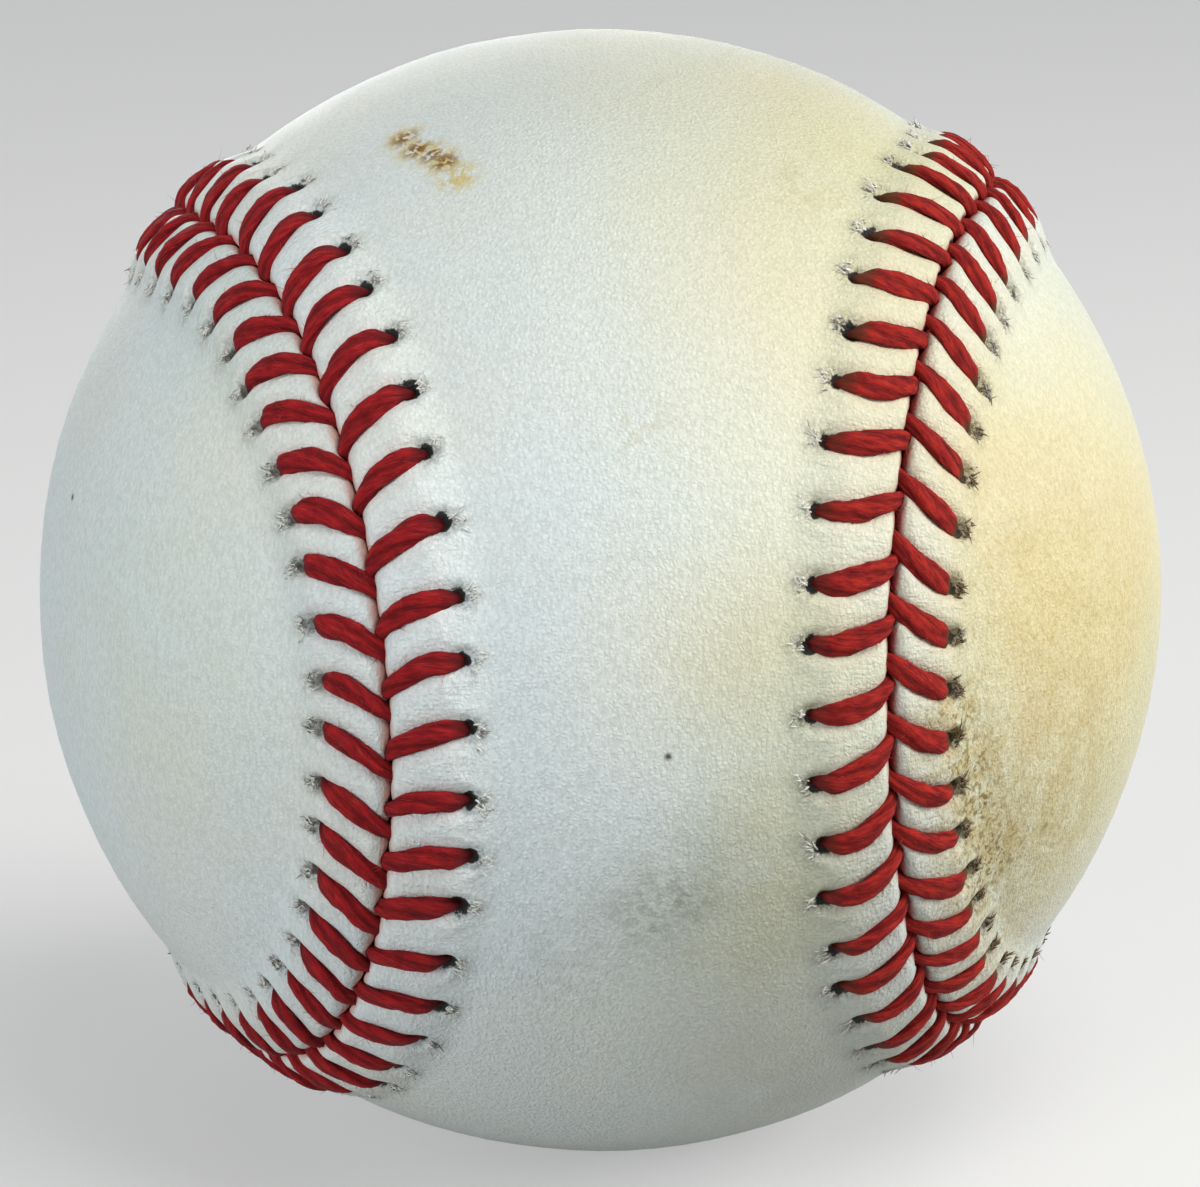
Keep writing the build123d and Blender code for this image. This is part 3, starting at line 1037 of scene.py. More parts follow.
@dataclass
class LeatherPanel:
    """One hide panel as a closed shell: grained outside, edge rolled into the seam, and the inside.

    Columns start on the seam and run over the ball at a right angle to it until they meet the
    columns of the other side on the panel's middle plane. The rows beside the seam are given by
    their ways from it, and those under the stitch arms by start, end and step.
    """

    panel: Panel
    seam: Seam
    plan: StitchPlan
    rng: np.random.Generator
    relief: HideRelief = HideRelief()
    tufts: TornFibres = TornFibres()
    columns: int = STITCHES * 18
    edge_rows: tuple[float, ...] = (0.0, 0.10, 0.24, 0.42, 0.64, 0.88)
    arm_rows: tuple[float, float, float] = (1.12, 5.6, 0.24)
    foot_rows: tuple[float, ...] = (5.85, 6.25, 6.75, 7.3)
    lining_rows: tuple[float, ...] = (1.6, 4.9, 7.6)
    far_rows: int = 10
    far_power: float = 1.15
    notch_depth: float = 0.26
    notch_half_width: float = 0.55
    parting: float = 0.06
    right_parting: float = 0.08
    right_side: Span = (-0.3, 0.4)
    parting_reach: float = 1.6
    waviness: float = 0.035
    wave: float = 11.0
    lining_step: float = 0.02
    tunnel_rise: float = 0.72
    tunnel_slope: float = 1.4

    def _rows(self) -> np.ndarray:
        """Ways from the edge of the fine rows beside the seam: closest at the edge, even under the arms."""
        return np.array([*self.edge_rows, *np.arange(*self.arm_rows), *self.foot_rows])

    def _reach(self, outward: np.ndarray, inward: np.ndarray) -> np.ndarray:
        """Way from the seam to the panel's middle plane, from the place where the column crosses it."""
        axis = self.panel.spine_axis
        towards = -outward[:, axis] * np.sign(inward[:, axis])
        return np.arctan2(towards, np.abs(inward[:, axis])) * self.seam.radius

    def _relief(self, along: np.ndarray, across: np.ndarray) -> tuple[np.ndarray, dict[str, np.ndarray]]:
        """Height of the hide over the plain ball, and the numbers its finish reads.

        The welt is an eased ramp. Each arm presses a groove, the hide puffs up between arms, rolls
        down into the seam, sinks into a pit at each hole, is torn up behind it and drawn in beyond.

        Args:
            along: Way along the seam.
            across: Way from the seam.

        Returns:
            The heights, and the named numbers for the finish.
        """
        form = self.relief
        near = self.plan.nearest(self.panel, along, across)
        beside, behind, beyond, pull = near["beside"], near["behind"], near["beyond"], near["pull"]
        welt = WELT_RISE * smooth_step(WELT_FOOT, WELT_TOP, across)
        arm = smooth_step(*form.arm_start, across) * smooth_step(*form.arm_end, across)
        groove = bell(beside, form.groove_half_width) * pull
        height = welt + arm * (form.puff - form.groove_depth * groove)
        roll = np.clip(1.0 - across / form.roll_reach, 0.0, 1.0)
        height = height - form.roll_depth * (1.0 - np.sqrt(1.0 - np.square(roll) * form.roll_share))
        dip = form.dip_depth * bell(beside, form.dip_half_width)
        height = height - dip * smooth_step(*form.dip_reach, across)
        hole = np.hypot(behind, beyond - form.pit_setback)
        pit = bell(hole, form.pit_half_width)
        lip = bell(hole - form.lip_radius, form.lip_half_width) * smooth_step(*form.lip_start, beyond)
        drawn = bell(behind, form.drawn_half_width) * smooth_step(*form.drawn_start, beyond)
        drawn = drawn * smooth_step(*form.drawn_end, beyond) * pull
        height = height - form.pit_depth * pit + form.lip_height * lip * pull - form.drawn_depth * drawn
        # Middle of the hole that the finish paints dark as shade
        dark = np.hypot(behind + form.hole_shift, beyond - form.hole_setback)
        long_tear, wide_tear = form.tear_stretches
        tear = np.hypot(behind * long_tear, (beyond - form.tear_setback) * wide_tear)
        numbers = {
            "pit": bell(dark, self.panel.hole_half_width * pull),
            "torn": bell(tear, form.tear_half_width) * smooth_step(*form.tear_start, beyond),
            "gap": bell(across, form.gap_half_width),
            "blush": arm * bell(beside, form.blush_half_width),
            "pillow": smooth_step(*form.pillow_start, across) * smooth_step(*form.pillow_end, across),
            "fibre": np.zeros_like(across),
        }
        return height, numbers

    def _edge(self, along: np.ndarray, right: np.ndarray) -> np.ndarray:
        """Way that each column's edge stands back from the seam line.

        The panels part a little, more on the right of the ball, and a notch is pulled into the edge
        where a thread dives in.

        Args:
            along: Way along the seam of each column.
            right: Share of the way to the right of the ball.

        Returns:
            The way of each column.
        """
        notch = self.notch_depth * bell(self.plan.entry_gap(along), self.notch_half_width)
        return self.parting + self.right_parting * smooth_step(*self.right_side, right) + notch

    def build(self) -> bpy.types.Object:
        """Makes the shell and keeps the finish's numbers on its points."""
        seam, sign = self.seam, self.panel.value
        along = seam.top_bend + (np.arange(self.columns) + 0.5) * seam.length / self.columns
        outward, _, sideways = seam.frames(along)
        reach = self._reach(outward, sideways * sign)
        near = self._rows()[:, None]
        edge = self._edge(along, outward[:, 0])[None, :] * smooth_step(self.parting_reach, 0.0, near)
        near_across = near + edge
        share = np.power(np.linspace(0.0, 1.0, self.far_rows + 1)[1:], self.far_power)[:, None]
        far_across = near_across[-1:] + (reach[None, :] - near_across[-1:]) * share
        across = np.concatenate([near_across, far_across])
        ways = np.broadcast_to(along, across.shape)
        height, numbers = self._relief(ways, across)
        outer = seam.points(ways, across * sign, height)
        outer += unit(outer) * (self.waviness * wobble(outer, self.wave, self.rng))[..., None]
        lining = np.repeat(np.array(self.lining_rows)[:, None], self.columns, axis=1)
        inner_across = np.concatenate([near_across[:1] + self.lining_step, lining, reach[None, :]])
        depth = len(inner_across)
        tunnel = smooth_step(WELT_FOOT, WELT_FOOT - self.tunnel_slope, inner_across)
        inner = seam.points(ways[:depth], inner_across * sign, self.tunnel_rise * tunnel - HIDE_THICKNESS)
        points = np.concatenate([outer[::-1], inner])
        rows = len(points)
        name = f"{self.panel.name.lower()}_hide"
        piece = mesh_object(name, points.reshape(-1, 3), grid_quads(rows, self.columns, False))
        for number, values in numbers.items():
            inside = np.broadcast_to(values[:1] if number == "gap" else 0.0, (depth, self.columns))
            store(piece, number, np.concatenate([values[::-1], inside]))
        self._seam_map(piece, along, np.concatenate([across[::-1], inner_across]))
        self._close(piece, rows)
        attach(piece, "root")
        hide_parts(self.panel.node)
        return piece

    def _seam_map(self, piece: bpy.types.Object, along: np.ndarray, across: np.ndarray) -> None:
        """Keeps the ways along and across the seam as a UV map, for the creases.

        Args:
            piece: The shell.
            along: Way along the seam of each column.
            across: Way from the seam of each row and column.
        """
        step = along[1] - along[0]
        u = along[None, :, None] + step * np.array([0, 1, 1, 0])
        there = np.roll(across, -1, axis=1)
        v = np.stack([across[:-1], there[:-1], there[1:], across[1:]], axis=-1)
        both = np.stack(np.broadcast_arrays(u, v), axis=-1)
        layer = piece.data.uv_layers.new(name="seam")
        layer.data.foreach_set("uv", np.ascontiguousarray(both, dtype=np.float32).ravel())

    def _tufts(self) -> bpy.types.Mesh:
        """Torn fibres that stand out of the hide behind each hole."""
        panel, sign, tufts, rng = self.panel, self.panel.value, self.tufts, self.rng
        count = STITCHES * tufts.count
        stitch = np.repeat(np.arange(STITCHES), tufts.count)
        way = self.plan.arm_way(panel, stitch, np.ones(count)) + rng.normal(0.0, tufts.scatter, count)
        across = self.plan.setbacks[panel][stitch] + panel.tuft_setback
        across = across + rng.uniform(0.0, tufts.spread, count)
        up, forward, outer = self.seam.compass(way, across * sign)
        height = WELT_RISE * smooth_step(WELT_FOOT, WELT_TOP, across) - tufts.sink
        lean = rng.normal(0.0, tufts.lean, (count, 1))
        rise = rng.uniform(*tufts.rise, (count, 1))
        heads = unit(outer * sign + forward * lean + up * rise)
        droop = up * rng.uniform(*tufts.droop, (count, 1))
        bends = droop + forward * rng.normal(0.0, tufts.sway, (count, 1))
        roots = self.seam.points(way, across * sign, height)
        lengths = rng.uniform(*tufts.lengths, count)
        return Hairs(roots, heads, bends, lengths, tufts.thickness).mesh("hide_fibres")

    def _close(self, piece: bpy.types.Object, rows: int) -> None:
        """Welds the two middle lines of the shell, turns its faces outwards and adds the fibres."""
        shell = bmesh.new()
        shell.from_mesh(piece.data)
        shell.verts.ensure_lookup_table()
        ends = shell.verts[: self.columns] + shell.verts[(rows - 1) * self.columns :]
        bmesh.ops.remove_doubles(shell, verts=ends, dist=SHELL_WELD)
        bmesh.ops.recalc_face_normals(shell, faces=shell.faces)
        shell.from_mesh(self._tufts())
        shell.to_mesh(piece.data)
        shell.free()


@dataclass
class StitchStrand:
    """One needle's thread: it changes panels from stitch to stitch, all the way round the seam.

    Its ragged skin is given by the height, the wave length and the number of the waves added up.
    """

    name: str
    node: str
    first: Panel
    seam: Seam
    plan: StitchPlan
    rng: np.random.Generator
    around: int = 18
    steps: int = 4
    plies: int = 3
    lay: float = 15.0
    ply_offset: float = 0.35
    ply_radius: float = 0.65
    swell_spread: float = 0.06
    lift_spread: float = 0.04
    ragged: tuple[tuple[float, float, int], ...] = ((0.03, 1.6, 14), (0.022, 0.6, 16))
    fuzz: int = 14
    fuzz_slant: float = 1.3
    fuzz_lift: Span = (-0.5, 0.5)
    fuzz_sway: float = 0.35
    fuzz_sink: float = 0.03
    fuzz_lengths: Span = (0.2, 0.75)
    fuzz_thickness: float = 0.034

    def _guides(self) -> np.ndarray:
        """Guide places of the whole strand.

        Returns:
            Lines of way along, way across, height, half width, half thickness and nearness of the
            hole, in order: out of the hole, over the hide, into the seam and under the other panel.
        """
        other = Panel.BACK if self.first is Panel.FRONT else Panel.FRONT
        lines = []
        for stitch in range(STITCHES):
            panel, turned = (self.first, other) if stitch % 2 == 0 else (other, self.first)
            number = np.full(len(ARM_SHARES), stitch)
            way = self.plan.arm_way(panel, number, np.minimum(ARM_SHARES, 1.0))
            across = panel.value * self.plan.setbacks[panel][stitch] * ARM_SHARES
            swell = 1.0 + self.rng.normal(0.0, self.swell_spread)
            lift = 1.0 + self.rng.normal(0.0, self.lift_spread)
            height = np.where(ARM_HEIGHTS > ARM_SHOWN, ARM_HEIGHTS * lift, ARM_HEIGHTS)
            half_width = ARM_HALF_WIDTHS * swell
            lines.append(np.stack([way, across, height, half_width, ARM_HALF_DEPTHS, ARM_TIPS], axis=-1))
            following = (stitch + 1) % STITCHES
            hole = self.plan.arm_way(turned, np.array([following]), np.ones(1))[0]
            hole += self.seam.length if following == 0 else 0.0
            start = way[-1]
            for share, depth in HIDDEN_STATIONS:
                sunk = turned.value * self.plan.setbacks[turned][following] * share
                onward = start + (hole - start) * share
                lines.append(np.array([[onward, sunk, depth, HIDDEN_HALF_WIDTH, HIDDEN_HALF_DEPTH, 0.0]]))
        return np.concatenate(lines)

    def _spline(self, guides: np.ndarray) -> np.ndarray:
        """Smooth closed line through the guides.

        Each stretch is a cubic whose slope at a guide is the mean of the two chords there.

        Args:
            guides: Guide places, the way along rising by the seam's length in one round.

        Returns:
            The places between, a few for each stretch.
        """
        lap = np.zeros(guides.shape[1])
        lap[0] = self.seam.length
        before = np.concatenate([guides[-1:] - lap, guides[:-1]])
        after = np.concatenate([guides[1:], guides[:1] + lap])
        step = np.linalg.norm((after - guides)[:, :3], axis=1)[:, None]
        back = np.roll(step, 1, axis=0)
        slope = ((after - guides) / step * back + (guides - before) / back * step) / (step + back)
        next_slope = np.roll(slope, -1, axis=0)
        t = (np.arange(self.steps) / self.steps)[None, :, None]
        start, end, span = guides[:, None], after[:, None], step[:, None]
        curve = (
            start * (2 * t**3 - 3 * t**2 + 1)
            + slope[:, None] * span * (t**3 - 2 * t**2 + t)
            + end * (3 * t**2 - 2 * t**3)
            + next_slope[:, None] * span * (t**3 - t**2)
        )
        return curve.reshape(-1, guides.shape[1])

    def build(self) -> bpy.types.Object:
        """Makes the strand: three plies twisted about the guide line, flattened on the arms."""
        line = self._spline(self._guides())
        centre = self.seam.points(line[:, 0], line[:, 1], line[:, 2])
        ahead = unit(np.roll(centre, -1, axis=0) - np.roll(centre, 1, axis=0))
        _, forward, _ = self.seam.frames(line[:, 0])
        wide = unit(forward - ahead * np.sum(forward * ahead, axis=1, keepdims=True))
        deep = np.cross(ahead, wide)
        run = np.concatenate([[0.0], np.cumsum(np.linalg.norm(np.diff(centre, axis=0), axis=1))])
        turns = round(run[-1] / self.lay)
        twist = 2.0 * math.pi * turns * run / (run[-1] + np.linalg.norm(centre[0] - centre[-1]))
        ring = np.arange(self.around)
        per_ply = self.around // self.plies
        offset = (ring % per_ply) / per_ply * 2.0 * math.pi / self.plies - math.pi / self.plies
        hollow = np.square(self.ply_offset * np.sin(offset))
        bulge = self.ply_offset * np.cos(offset) + np.sqrt(self.ply_radius**2 - hollow)
        angle = twist[:, None] + (ring * 2.0 * math.pi / self.around)[None, :]
        across = (line[:, 3:4] * np.cos(angle) * bulge)[..., None] * wide[:, None, :]
        up = (line[:, 4:5] * np.sin(angle) * bulge)[..., None] * deep[:, None, :]
        points = centre[:, None, :] + across + up
        ragged = sum(height * wobble(points, wave, self.rng, terms) for height, wave, terms in self.ragged)
        points += unit(points - centre[:, None, :]) * ragged[..., None]
        rings = len(centre)
        piece = mesh_object(self.name, points.reshape(-1, 3), grid_quads(rings, self.around, True))
        # Depth between the plies, which the finish darkens as painted shade
        groove = (1.0 - bulge) / (1.0 - bulge.min())
        store(piece, "groove", np.broadcast_to(groove, (rings, self.around)))
        # Nearness of the hole, where the finish paints shade and, on the right, soil
        store(piece, "tip", np.broadcast_to(line[:, 5:6], (rings, self.around)))
        store(piece, "fibre", np.zeros(rings * self.around))
        lay_map(piece, run, self.around)
        self._add_fuzz(piece, points, centre, ahead, line[:, 2])
        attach(piece, "root")
        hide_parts(self.node)
        return piece

    def _add_fuzz(
        self,
        piece: bpy.types.Object,
        points: np.ndarray,
        centre: np.ndarray,
        ahead: np.ndarray,
        height: np.ndarray,
    ) -> None:
        """Adds loose fibres to the arms of the strand.

        Args:
            piece: The strand.
            points: Its points by ring.
            centre: Its middle line.
            ahead: Direction of the middle line.
            height: Height of the middle line over the plain hide.
        """
        count = STITCHES * self.fuzz
        ring = self.rng.choice(np.flatnonzero(height > ARM_SHOWN), count)
        spot = self.rng.integers(0, self.around, count)
        roots = points[ring, spot]
        away = unit(roots - centre[ring])
        heads = unit(away + ahead[ring] * self.rng.normal(0.0, self.fuzz_slant, (count, 1)))
        bends = unit(roots) * self.rng.uniform(*self.fuzz_lift, (count, 1))
        bends = bends + self.rng.normal(0.0, self.fuzz_sway, (count, 3))
        lengths = self.rng.uniform(*self.fuzz_lengths, count)
        hairs = Hairs(roots - away * self.fuzz_sink, heads, bends, lengths, self.fuzz_thickness)
        join(piece, hairs.mesh(f"{self.name}_fuzz"))


@dataclass
class YarnWinding:
    """A wound layer: a hollow ball with one unbroken yarn laid over it in turn after turn.

    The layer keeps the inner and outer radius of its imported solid.
    """

    node: str
    name: str
    slot: str
    yarn: float
    turns: int
    finish: YarnFinish
    steps: int = 60
    around: int = 6
    swings: int = 3
    rows: int = 60
    lean: float = 56.0
    lean_swing: float = 33.0
    onward_share: float = 0.382
    weave_share: float = 0.291
    sink_share: float = 0.86
    lift_share: float = 0.4
    half_width_share: float = 0.56
    half_depth_share: float = 0.44

    def _radii(self) -> tuple[float, float]:
        """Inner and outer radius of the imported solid, in millimetres."""
        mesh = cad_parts[self.node].data
        places = np.empty(len(mesh.vertices) * 3, dtype=np.float32)
        mesh.vertices.foreach_get("co", places)
        away = np.linalg.norm(places.reshape(-1, 3), axis=1) / MM
        return float(away.min()), float(away.max())

    def _path(self, outer: float) -> np.ndarray:
        """Middle line of the yarn.

        Every turn is a great circle. Its lean swings up and down over the whole winding, and from
        turn to turn it goes on by about three eighths of a circle, so the turns spread evenly. A slow
        wave lifts some turns over others.

        Args:
            outer: Outer radius of the layer.

        Returns:
            The places, in millimetres.
        """
        lap = np.arange(self.turns * self.steps) / (self.turns * self.steps) * 2.0 * math.pi
        turn = lap * self.turns
        onward = lap * round(self.onward_share * self.turns)
        lean = math.radians(self.lean) + math.radians(self.lean_swing) * np.sin(lap * self.swings)
        x, y, z = np.cos(turn), np.sin(turn) * np.cos(lean), np.sin(turn) * np.sin(lean)
        circle = [x * np.cos(onward) - y * np.sin(onward), x * np.sin(onward) + y * np.cos(onward), z]
        lift = 0.5 + 0.5 * np.sin(lap * round(self.weave_share * self.turns))
        depth = self.yarn * (self.sink_share - self.lift_share * lift)
        return np.stack(circle, axis=-1) * (outer - depth)[:, None]

    def _ball(self, radius: float, inward: bool) -> bpy.types.Mesh:
        """Closed ball on a grid of longitude and latitude.

        Args:
            radius: Radius in millimetres.
            inward: Whether its faces point to the middle, as the wall of a hollow.

        Returns:
            The mesh, with its poles welded.
        """
        down = np.linspace(0.0, math.pi, self.rows)[:, None]
        round_way = np.arange(2 * self.rows)[None, :] * math.pi / self.rows
        parts = [np.sin(down) * np.cos(round_way), np.sin(down) * np.sin(round_way), np.cos(down)]
        points = np.stack(np.broadcast_arrays(*parts), axis=-1).reshape(-1, 3) * radius
        faces = grid_quads(self.rows, 2 * self.rows, False)
        piece = mesh_object(f"{self.name}_ball", points, faces if inward else faces[:, ::-1])
        shell = bmesh.new()
        shell.from_mesh(piece.data)
        bmesh.ops.remove_doubles(shell, verts=shell.verts, dist=POLE_WELD)
        mesh = piece.data
        shell.to_mesh(mesh)
        shell.free()
        bpy.data.objects.remove(piece)
        return mesh

    def build(self) -> bpy.types.Object:
        """Makes the yarn as one flattened tube and joins it to its hollow ball."""
        inner, outer = self._radii()
        centre = self._path(outer)
        ahead = unit(np.roll(centre, -1, axis=0) - np.roll(centre, 1, axis=0))
        wide = unit(np.cross(centre, ahead))
        deep = np.cross(ahead, wide)
        angle = np.arange(self.around) * 2.0 * math.pi / self.around
        across = wide[:, None] * (self.half_width_share * self.yarn * np.cos(angle))[None, :, None]
        up = deep[:, None] * (self.half_depth_share * self.yarn * np.sin(angle))[None, :, None]
        points = centre[:, None] + across + up
        faces = grid_quads(len(centre), self.around, True)
        piece = mesh_object(self.name, points.reshape(-1, 3), faces)
        steps = np.linalg.norm(np.diff(centre, axis=0), axis=1)
        lay_map(piece, np.concatenate([[0.0], np.cumsum(steps)]), self.around)
        join(piece, self._ball(outer - self.yarn, False), self._ball(inner, True))
        piece.data.materials.append(self.finish.material(f"{self.name}_finish"))
        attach(piece, "root")
        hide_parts(self.node)
        return piece


@dataclass(frozen=True)
class InnerLayer:
    """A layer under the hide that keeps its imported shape."""

    node: str
    finish: GrainFinish

    def dress(self) -> bpy.types.Object:
        """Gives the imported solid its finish."""
        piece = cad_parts[self.node]
        piece.data.materials.clear()
        piece.data.materials.append(self.finish.material(f"{self.node}_finish"))
        return piece


def background_rays(tree: bpy.types.NodeTree) -> Socket:
    """Number that is 1 for camera, glossy and transmission rays, which show the background."""
    path = tree.nodes.new("ShaderNodeLightPath")
    seen = path.outputs["Is Camera Ray"]
    for name in ("Is Glossy Ray", "Is Transmission Ray"):
        either = tree.nodes.new("ShaderNodeMath")
        either.operation = "MAXIMUM"
        tree.links.new(seen, either.inputs[0])
        tree.links.new(path.outputs[name], either.inputs[1])
        seen = either.outputs[0]
    return seen


@dataclass(frozen=True)
class Lamp:
    """Square soft lamp that faces the ball, with its place and side in millimetres and power in watts."""

    name: str
    place: Place
    side: float
    power: float
    colour: Colour

    def build(self) -> bpy.types.Object:
        """Adds the lamp to the scene."""
        data = bpy.data.lights.new(self.name, "AREA")
        data.energy = self.power
        data.size = self.side * MM
        data.color = self.colour
        lamp = bpy.data.objects.new(self.name, data)
        lamp.location = Vector(self.place) * MM
        lamp.rotation_euler = (-lamp.location).to_track_quat("-Z", "Y").to_euler()
        bpy.context.scene.collection.objects.link(lamp)
        return lamp


FRONT_LAMPS = (
    Lamp("key_lamp", (240.0, -345.0, 605.0), 420.0, 3.05, (1.0, 0.99, 0.965)),
    Lamp("side_lamp", (-580.0, -400.0, 20.0), 380.0, 4.2, (0.95, 0.98, 1.0)),
    Lamp("right_lamp", (560.0, -170.0, 200.0), 300.0, 3.2, (1.0, 0.98, 0.94)),
)
BACK_LAMP = Lamp("back_lamp", (-60.0, 560.0, 110.0), 300.0, 1.5, (1.0, 0.99, 0.97))


@dataclass(frozen=True)
class Studio:
    """Pale floor, soft lamps and the photo's point of view. Angles are degrees."""

    tip: float = 13.40
    sway: float = -2.45
    roll: float = 3.45
    distance: float = 8.0 * BALL_RADIUS
    lens: float = 133.6
    sensor: float = 36.0
    lift: float = -0.0029
    clip_start: float = 0.01
    clip_end: float = 50.0
    floor: Colour = (0.46, 0.46, 0.455)
    floor_half: float = 6000.0
    floor_rough: float = 0.9
    bounce: Colour = (0.32, 0.32, 0.32)
    glow: float = 0.36
    sky: float = 0.26
    sky_tint: Colour = (0.94, 0.97, 1.0)
    backdrop: float = 0.48

    def build(self, cover: list[bpy.types.Object]) -> None:
        """Sets up the floor, the lamps, the world and the camera.

        Args:
            cover: Hides and strands, which alone are lit by the lamp behind the ball.
        """
        self._floor()
        for lamp in FRONT_LAMPS:
            lamp.build()
        lit = bpy.data.collections.new("back_lit")
        for piece in cover:
            lit.objects.link(piece)
        BACK_LAMP.build().light_linking.receiver_collection = lit
        self._world()
        self._camera()
        bpy.context.scene.view_settings.view_transform = "Standard"

    def _floor(self) -> None:
        """Wide flat floor that the ball rests on."""
        half, low = self.floor_half, -BALL_RADIUS
        corners = np.array([(-half, -half, low), (half, -half, low), (half, half, low), (-half, half, low)])
        piece = mesh_object("studio_floor", corners, np.array([[0, 1, 2, 3]]))
        wiring = Wiring("studio_floor_finish")
        seen = background_rays(wiring.tree)
        wiring.surface.inputs["Emission Color"].default_value = (1.0, 1.0, 1.0, 1.0)
        glow = wiring.math("MULTIPLY", seen, self.glow)
        wiring.give(wiring.surface.inputs["Emission Strength"], glow)
        colour = wiring.mix(seen, self.bounce, self.floor)
        piece.data.materials.append(wiring.finish(colour, self.floor_rough))

    def _world(self) -> None:
        """Even pale light from all round."""
        world = bpy.data.worlds.new("studio_world")
        world.use_nodes = True
        tree = world.node_tree
        tree.nodes["Background"].inputs["Color"].default_value = (*self.sky_tint, 1.0)
        strength = tree.nodes.new("ShaderNodeMapRange")
        strength.inputs["To Min"].default_value = self.sky
        strength.inputs["To Max"].default_value = self.backdrop
        tree.links.new(background_rays(tree), strength.inputs["Value"])
        tree.links.new(strength.outputs["Result"], tree.nodes["Background"].inputs["Strength"])
        bpy.context.scene.world = world

    def _camera(self) -> None:
        """Camera at the photo's point of view."""
        data = bpy.data.cameras.new("photo_camera")
        data.sensor_fit = "HORIZONTAL"
        data.sensor_width = self.sensor
        data.lens = self.lens
        data.shift_y = self.lift
        data.clip_start = self.clip_start
        data.clip_end = self.clip_end
        ball_turn = Euler([math.radians(angle) for angle in (self.tip, self.sway, self.roll)], "XYZ")
        upright = Euler((math.pi / 2.0, 0.0, 0.0), "XYZ").to_matrix().to_4x4()
        away = Matrix.Translation((0.0, -self.distance * MM, 0.0))
        camera = bpy.data.objects.new("photo_camera", data)
        camera.matrix_world = ball_turn.to_matrix().to_4x4().inverted() @ away @ upright
        bpy.context.scene.collection.objects.link(camera)
        bpy.context.scene.camera = camera


# Stain colours and one painted shade, which multiply the hide's own, and the back holes' colour of shade and
# soil
YELLOW: Colour = (0.98, 0.90, 0.68)
CREAM: Colour = (0.98, 0.94, 0.79)
IVORY: Colour = (0.95, 0.93, 0.88)
MUD: Colour = (0.75, 0.62, 0.34)
SOOT: Colour = (0.56, 0.55, 0.49)
RUST: Colour = (0.34, 0.17, 0.05)
GOLD: Colour = (0.92, 0.70, 0.30)
GRIT: Colour = (0.45, 0.36, 0.17)
# Painted shade, not a stain: greys the hide over the top of the ball
PAINTED_TOP_SHADE: Colour = (0.93, 0.90, 0.87)
TAN: Colour = (0.90, 0.85, 0.70)
OLIVE: Colour = (0.77, 0.75, 0.66)
SMOKE: Colour = (0.74, 0.74, 0.70)
SPECK: Colour = (0.1, 0.09, 0.08)
CHALK: Colour = (0.96, 0.95, 0.87)
MIST: Colour = (0.90, 0.93, 0.90)
BROWN_HOLE: Colour = (0.075, 0.055, 0.032)

# Middles of two long marks, as angles to the right of the front and up
SCUFF = ((-42.5, 61.0), (-37.5, 59.5), (-33.5, 59.0), (-30.0, 58.0))
CRUST = ((30.0, -2.5), (32.0, -7.0), (34.0, -12.0), (37.5, -18.0))

FRONT_MARKS = (
    Mark(((26.0, 12.5),), 23.0, CREAM, 1.0, 60.0, 0.0, 0.45),
    Mark(((5.0, 49.5),), 22.0, IVORY, 1.0, 60.0, 0.0, 0.4),
    Mark(((43.5, 44.5),), 26.0, CREAM, 1.0, 60.0, 0.05, 0.45),
    Mark(((43.0, 50.0), (63.5, 76.0)), 22.0, YELLOW, 0.5, 60.0, 0.0, 0.42),
    Mark(((58.0, 58.0),), 12.0, YELLOW, 0.6, 60.0, 0.0, 0.42),
    # Painted shade over the top of the ball
    Mark(((5.0, 80.5),), 24.0, PAINTED_TOP_SHADE, 0.7, 60.0, 0.0, 0.3),
    Mark(((13.0, 4.0), (14.5, -8.0), (14.0, -19.0)), 10.0, TAN, 0.8, 120.0, 0.1, 0.5),
    Mark(((11.6, -21.0), (17.0, -32.0), (28.0, -43.0)), 14.0, OLIVE, 0.9, 90.0, 0.1, 0.5),
    Mark(((0.4, -17.7), (5.0, -15.0)), 6.0, SMOKE, 0.6, 420.0, 0.30, 0.66),
    Mark(((0.4, -17.7), (2.5, -16.5)), 3.6, SOOT, 0.6, 1300.0, 0.42, 0.60),
    Mark(((-8.5, -23.9),), 6.0, SMOKE, 0.45, 700.0, 0.38, 0.64),
    Mark((*SCUFF, (-26.0, 56.0)), 2.1, GOLD, 0.95, 1100.0, 0.36, 0.56),
    Mark(SCUFF, 1.35, RUST, 1.0, 1900.0, 0.42, 0.52),
    Mark(((1.0, 28.0),), 3.0, MUD, 0.3, 700.0, 0.45, 0.65),
    Mark(((32.5, 53.5),), 5.0, MUD, 0.25, 500.0, 0.45, 0.65),
    Mark(((2.2, -2.0),), 0.36, SPECK, 1.0, 10.0, 0.0, 0.1),
)

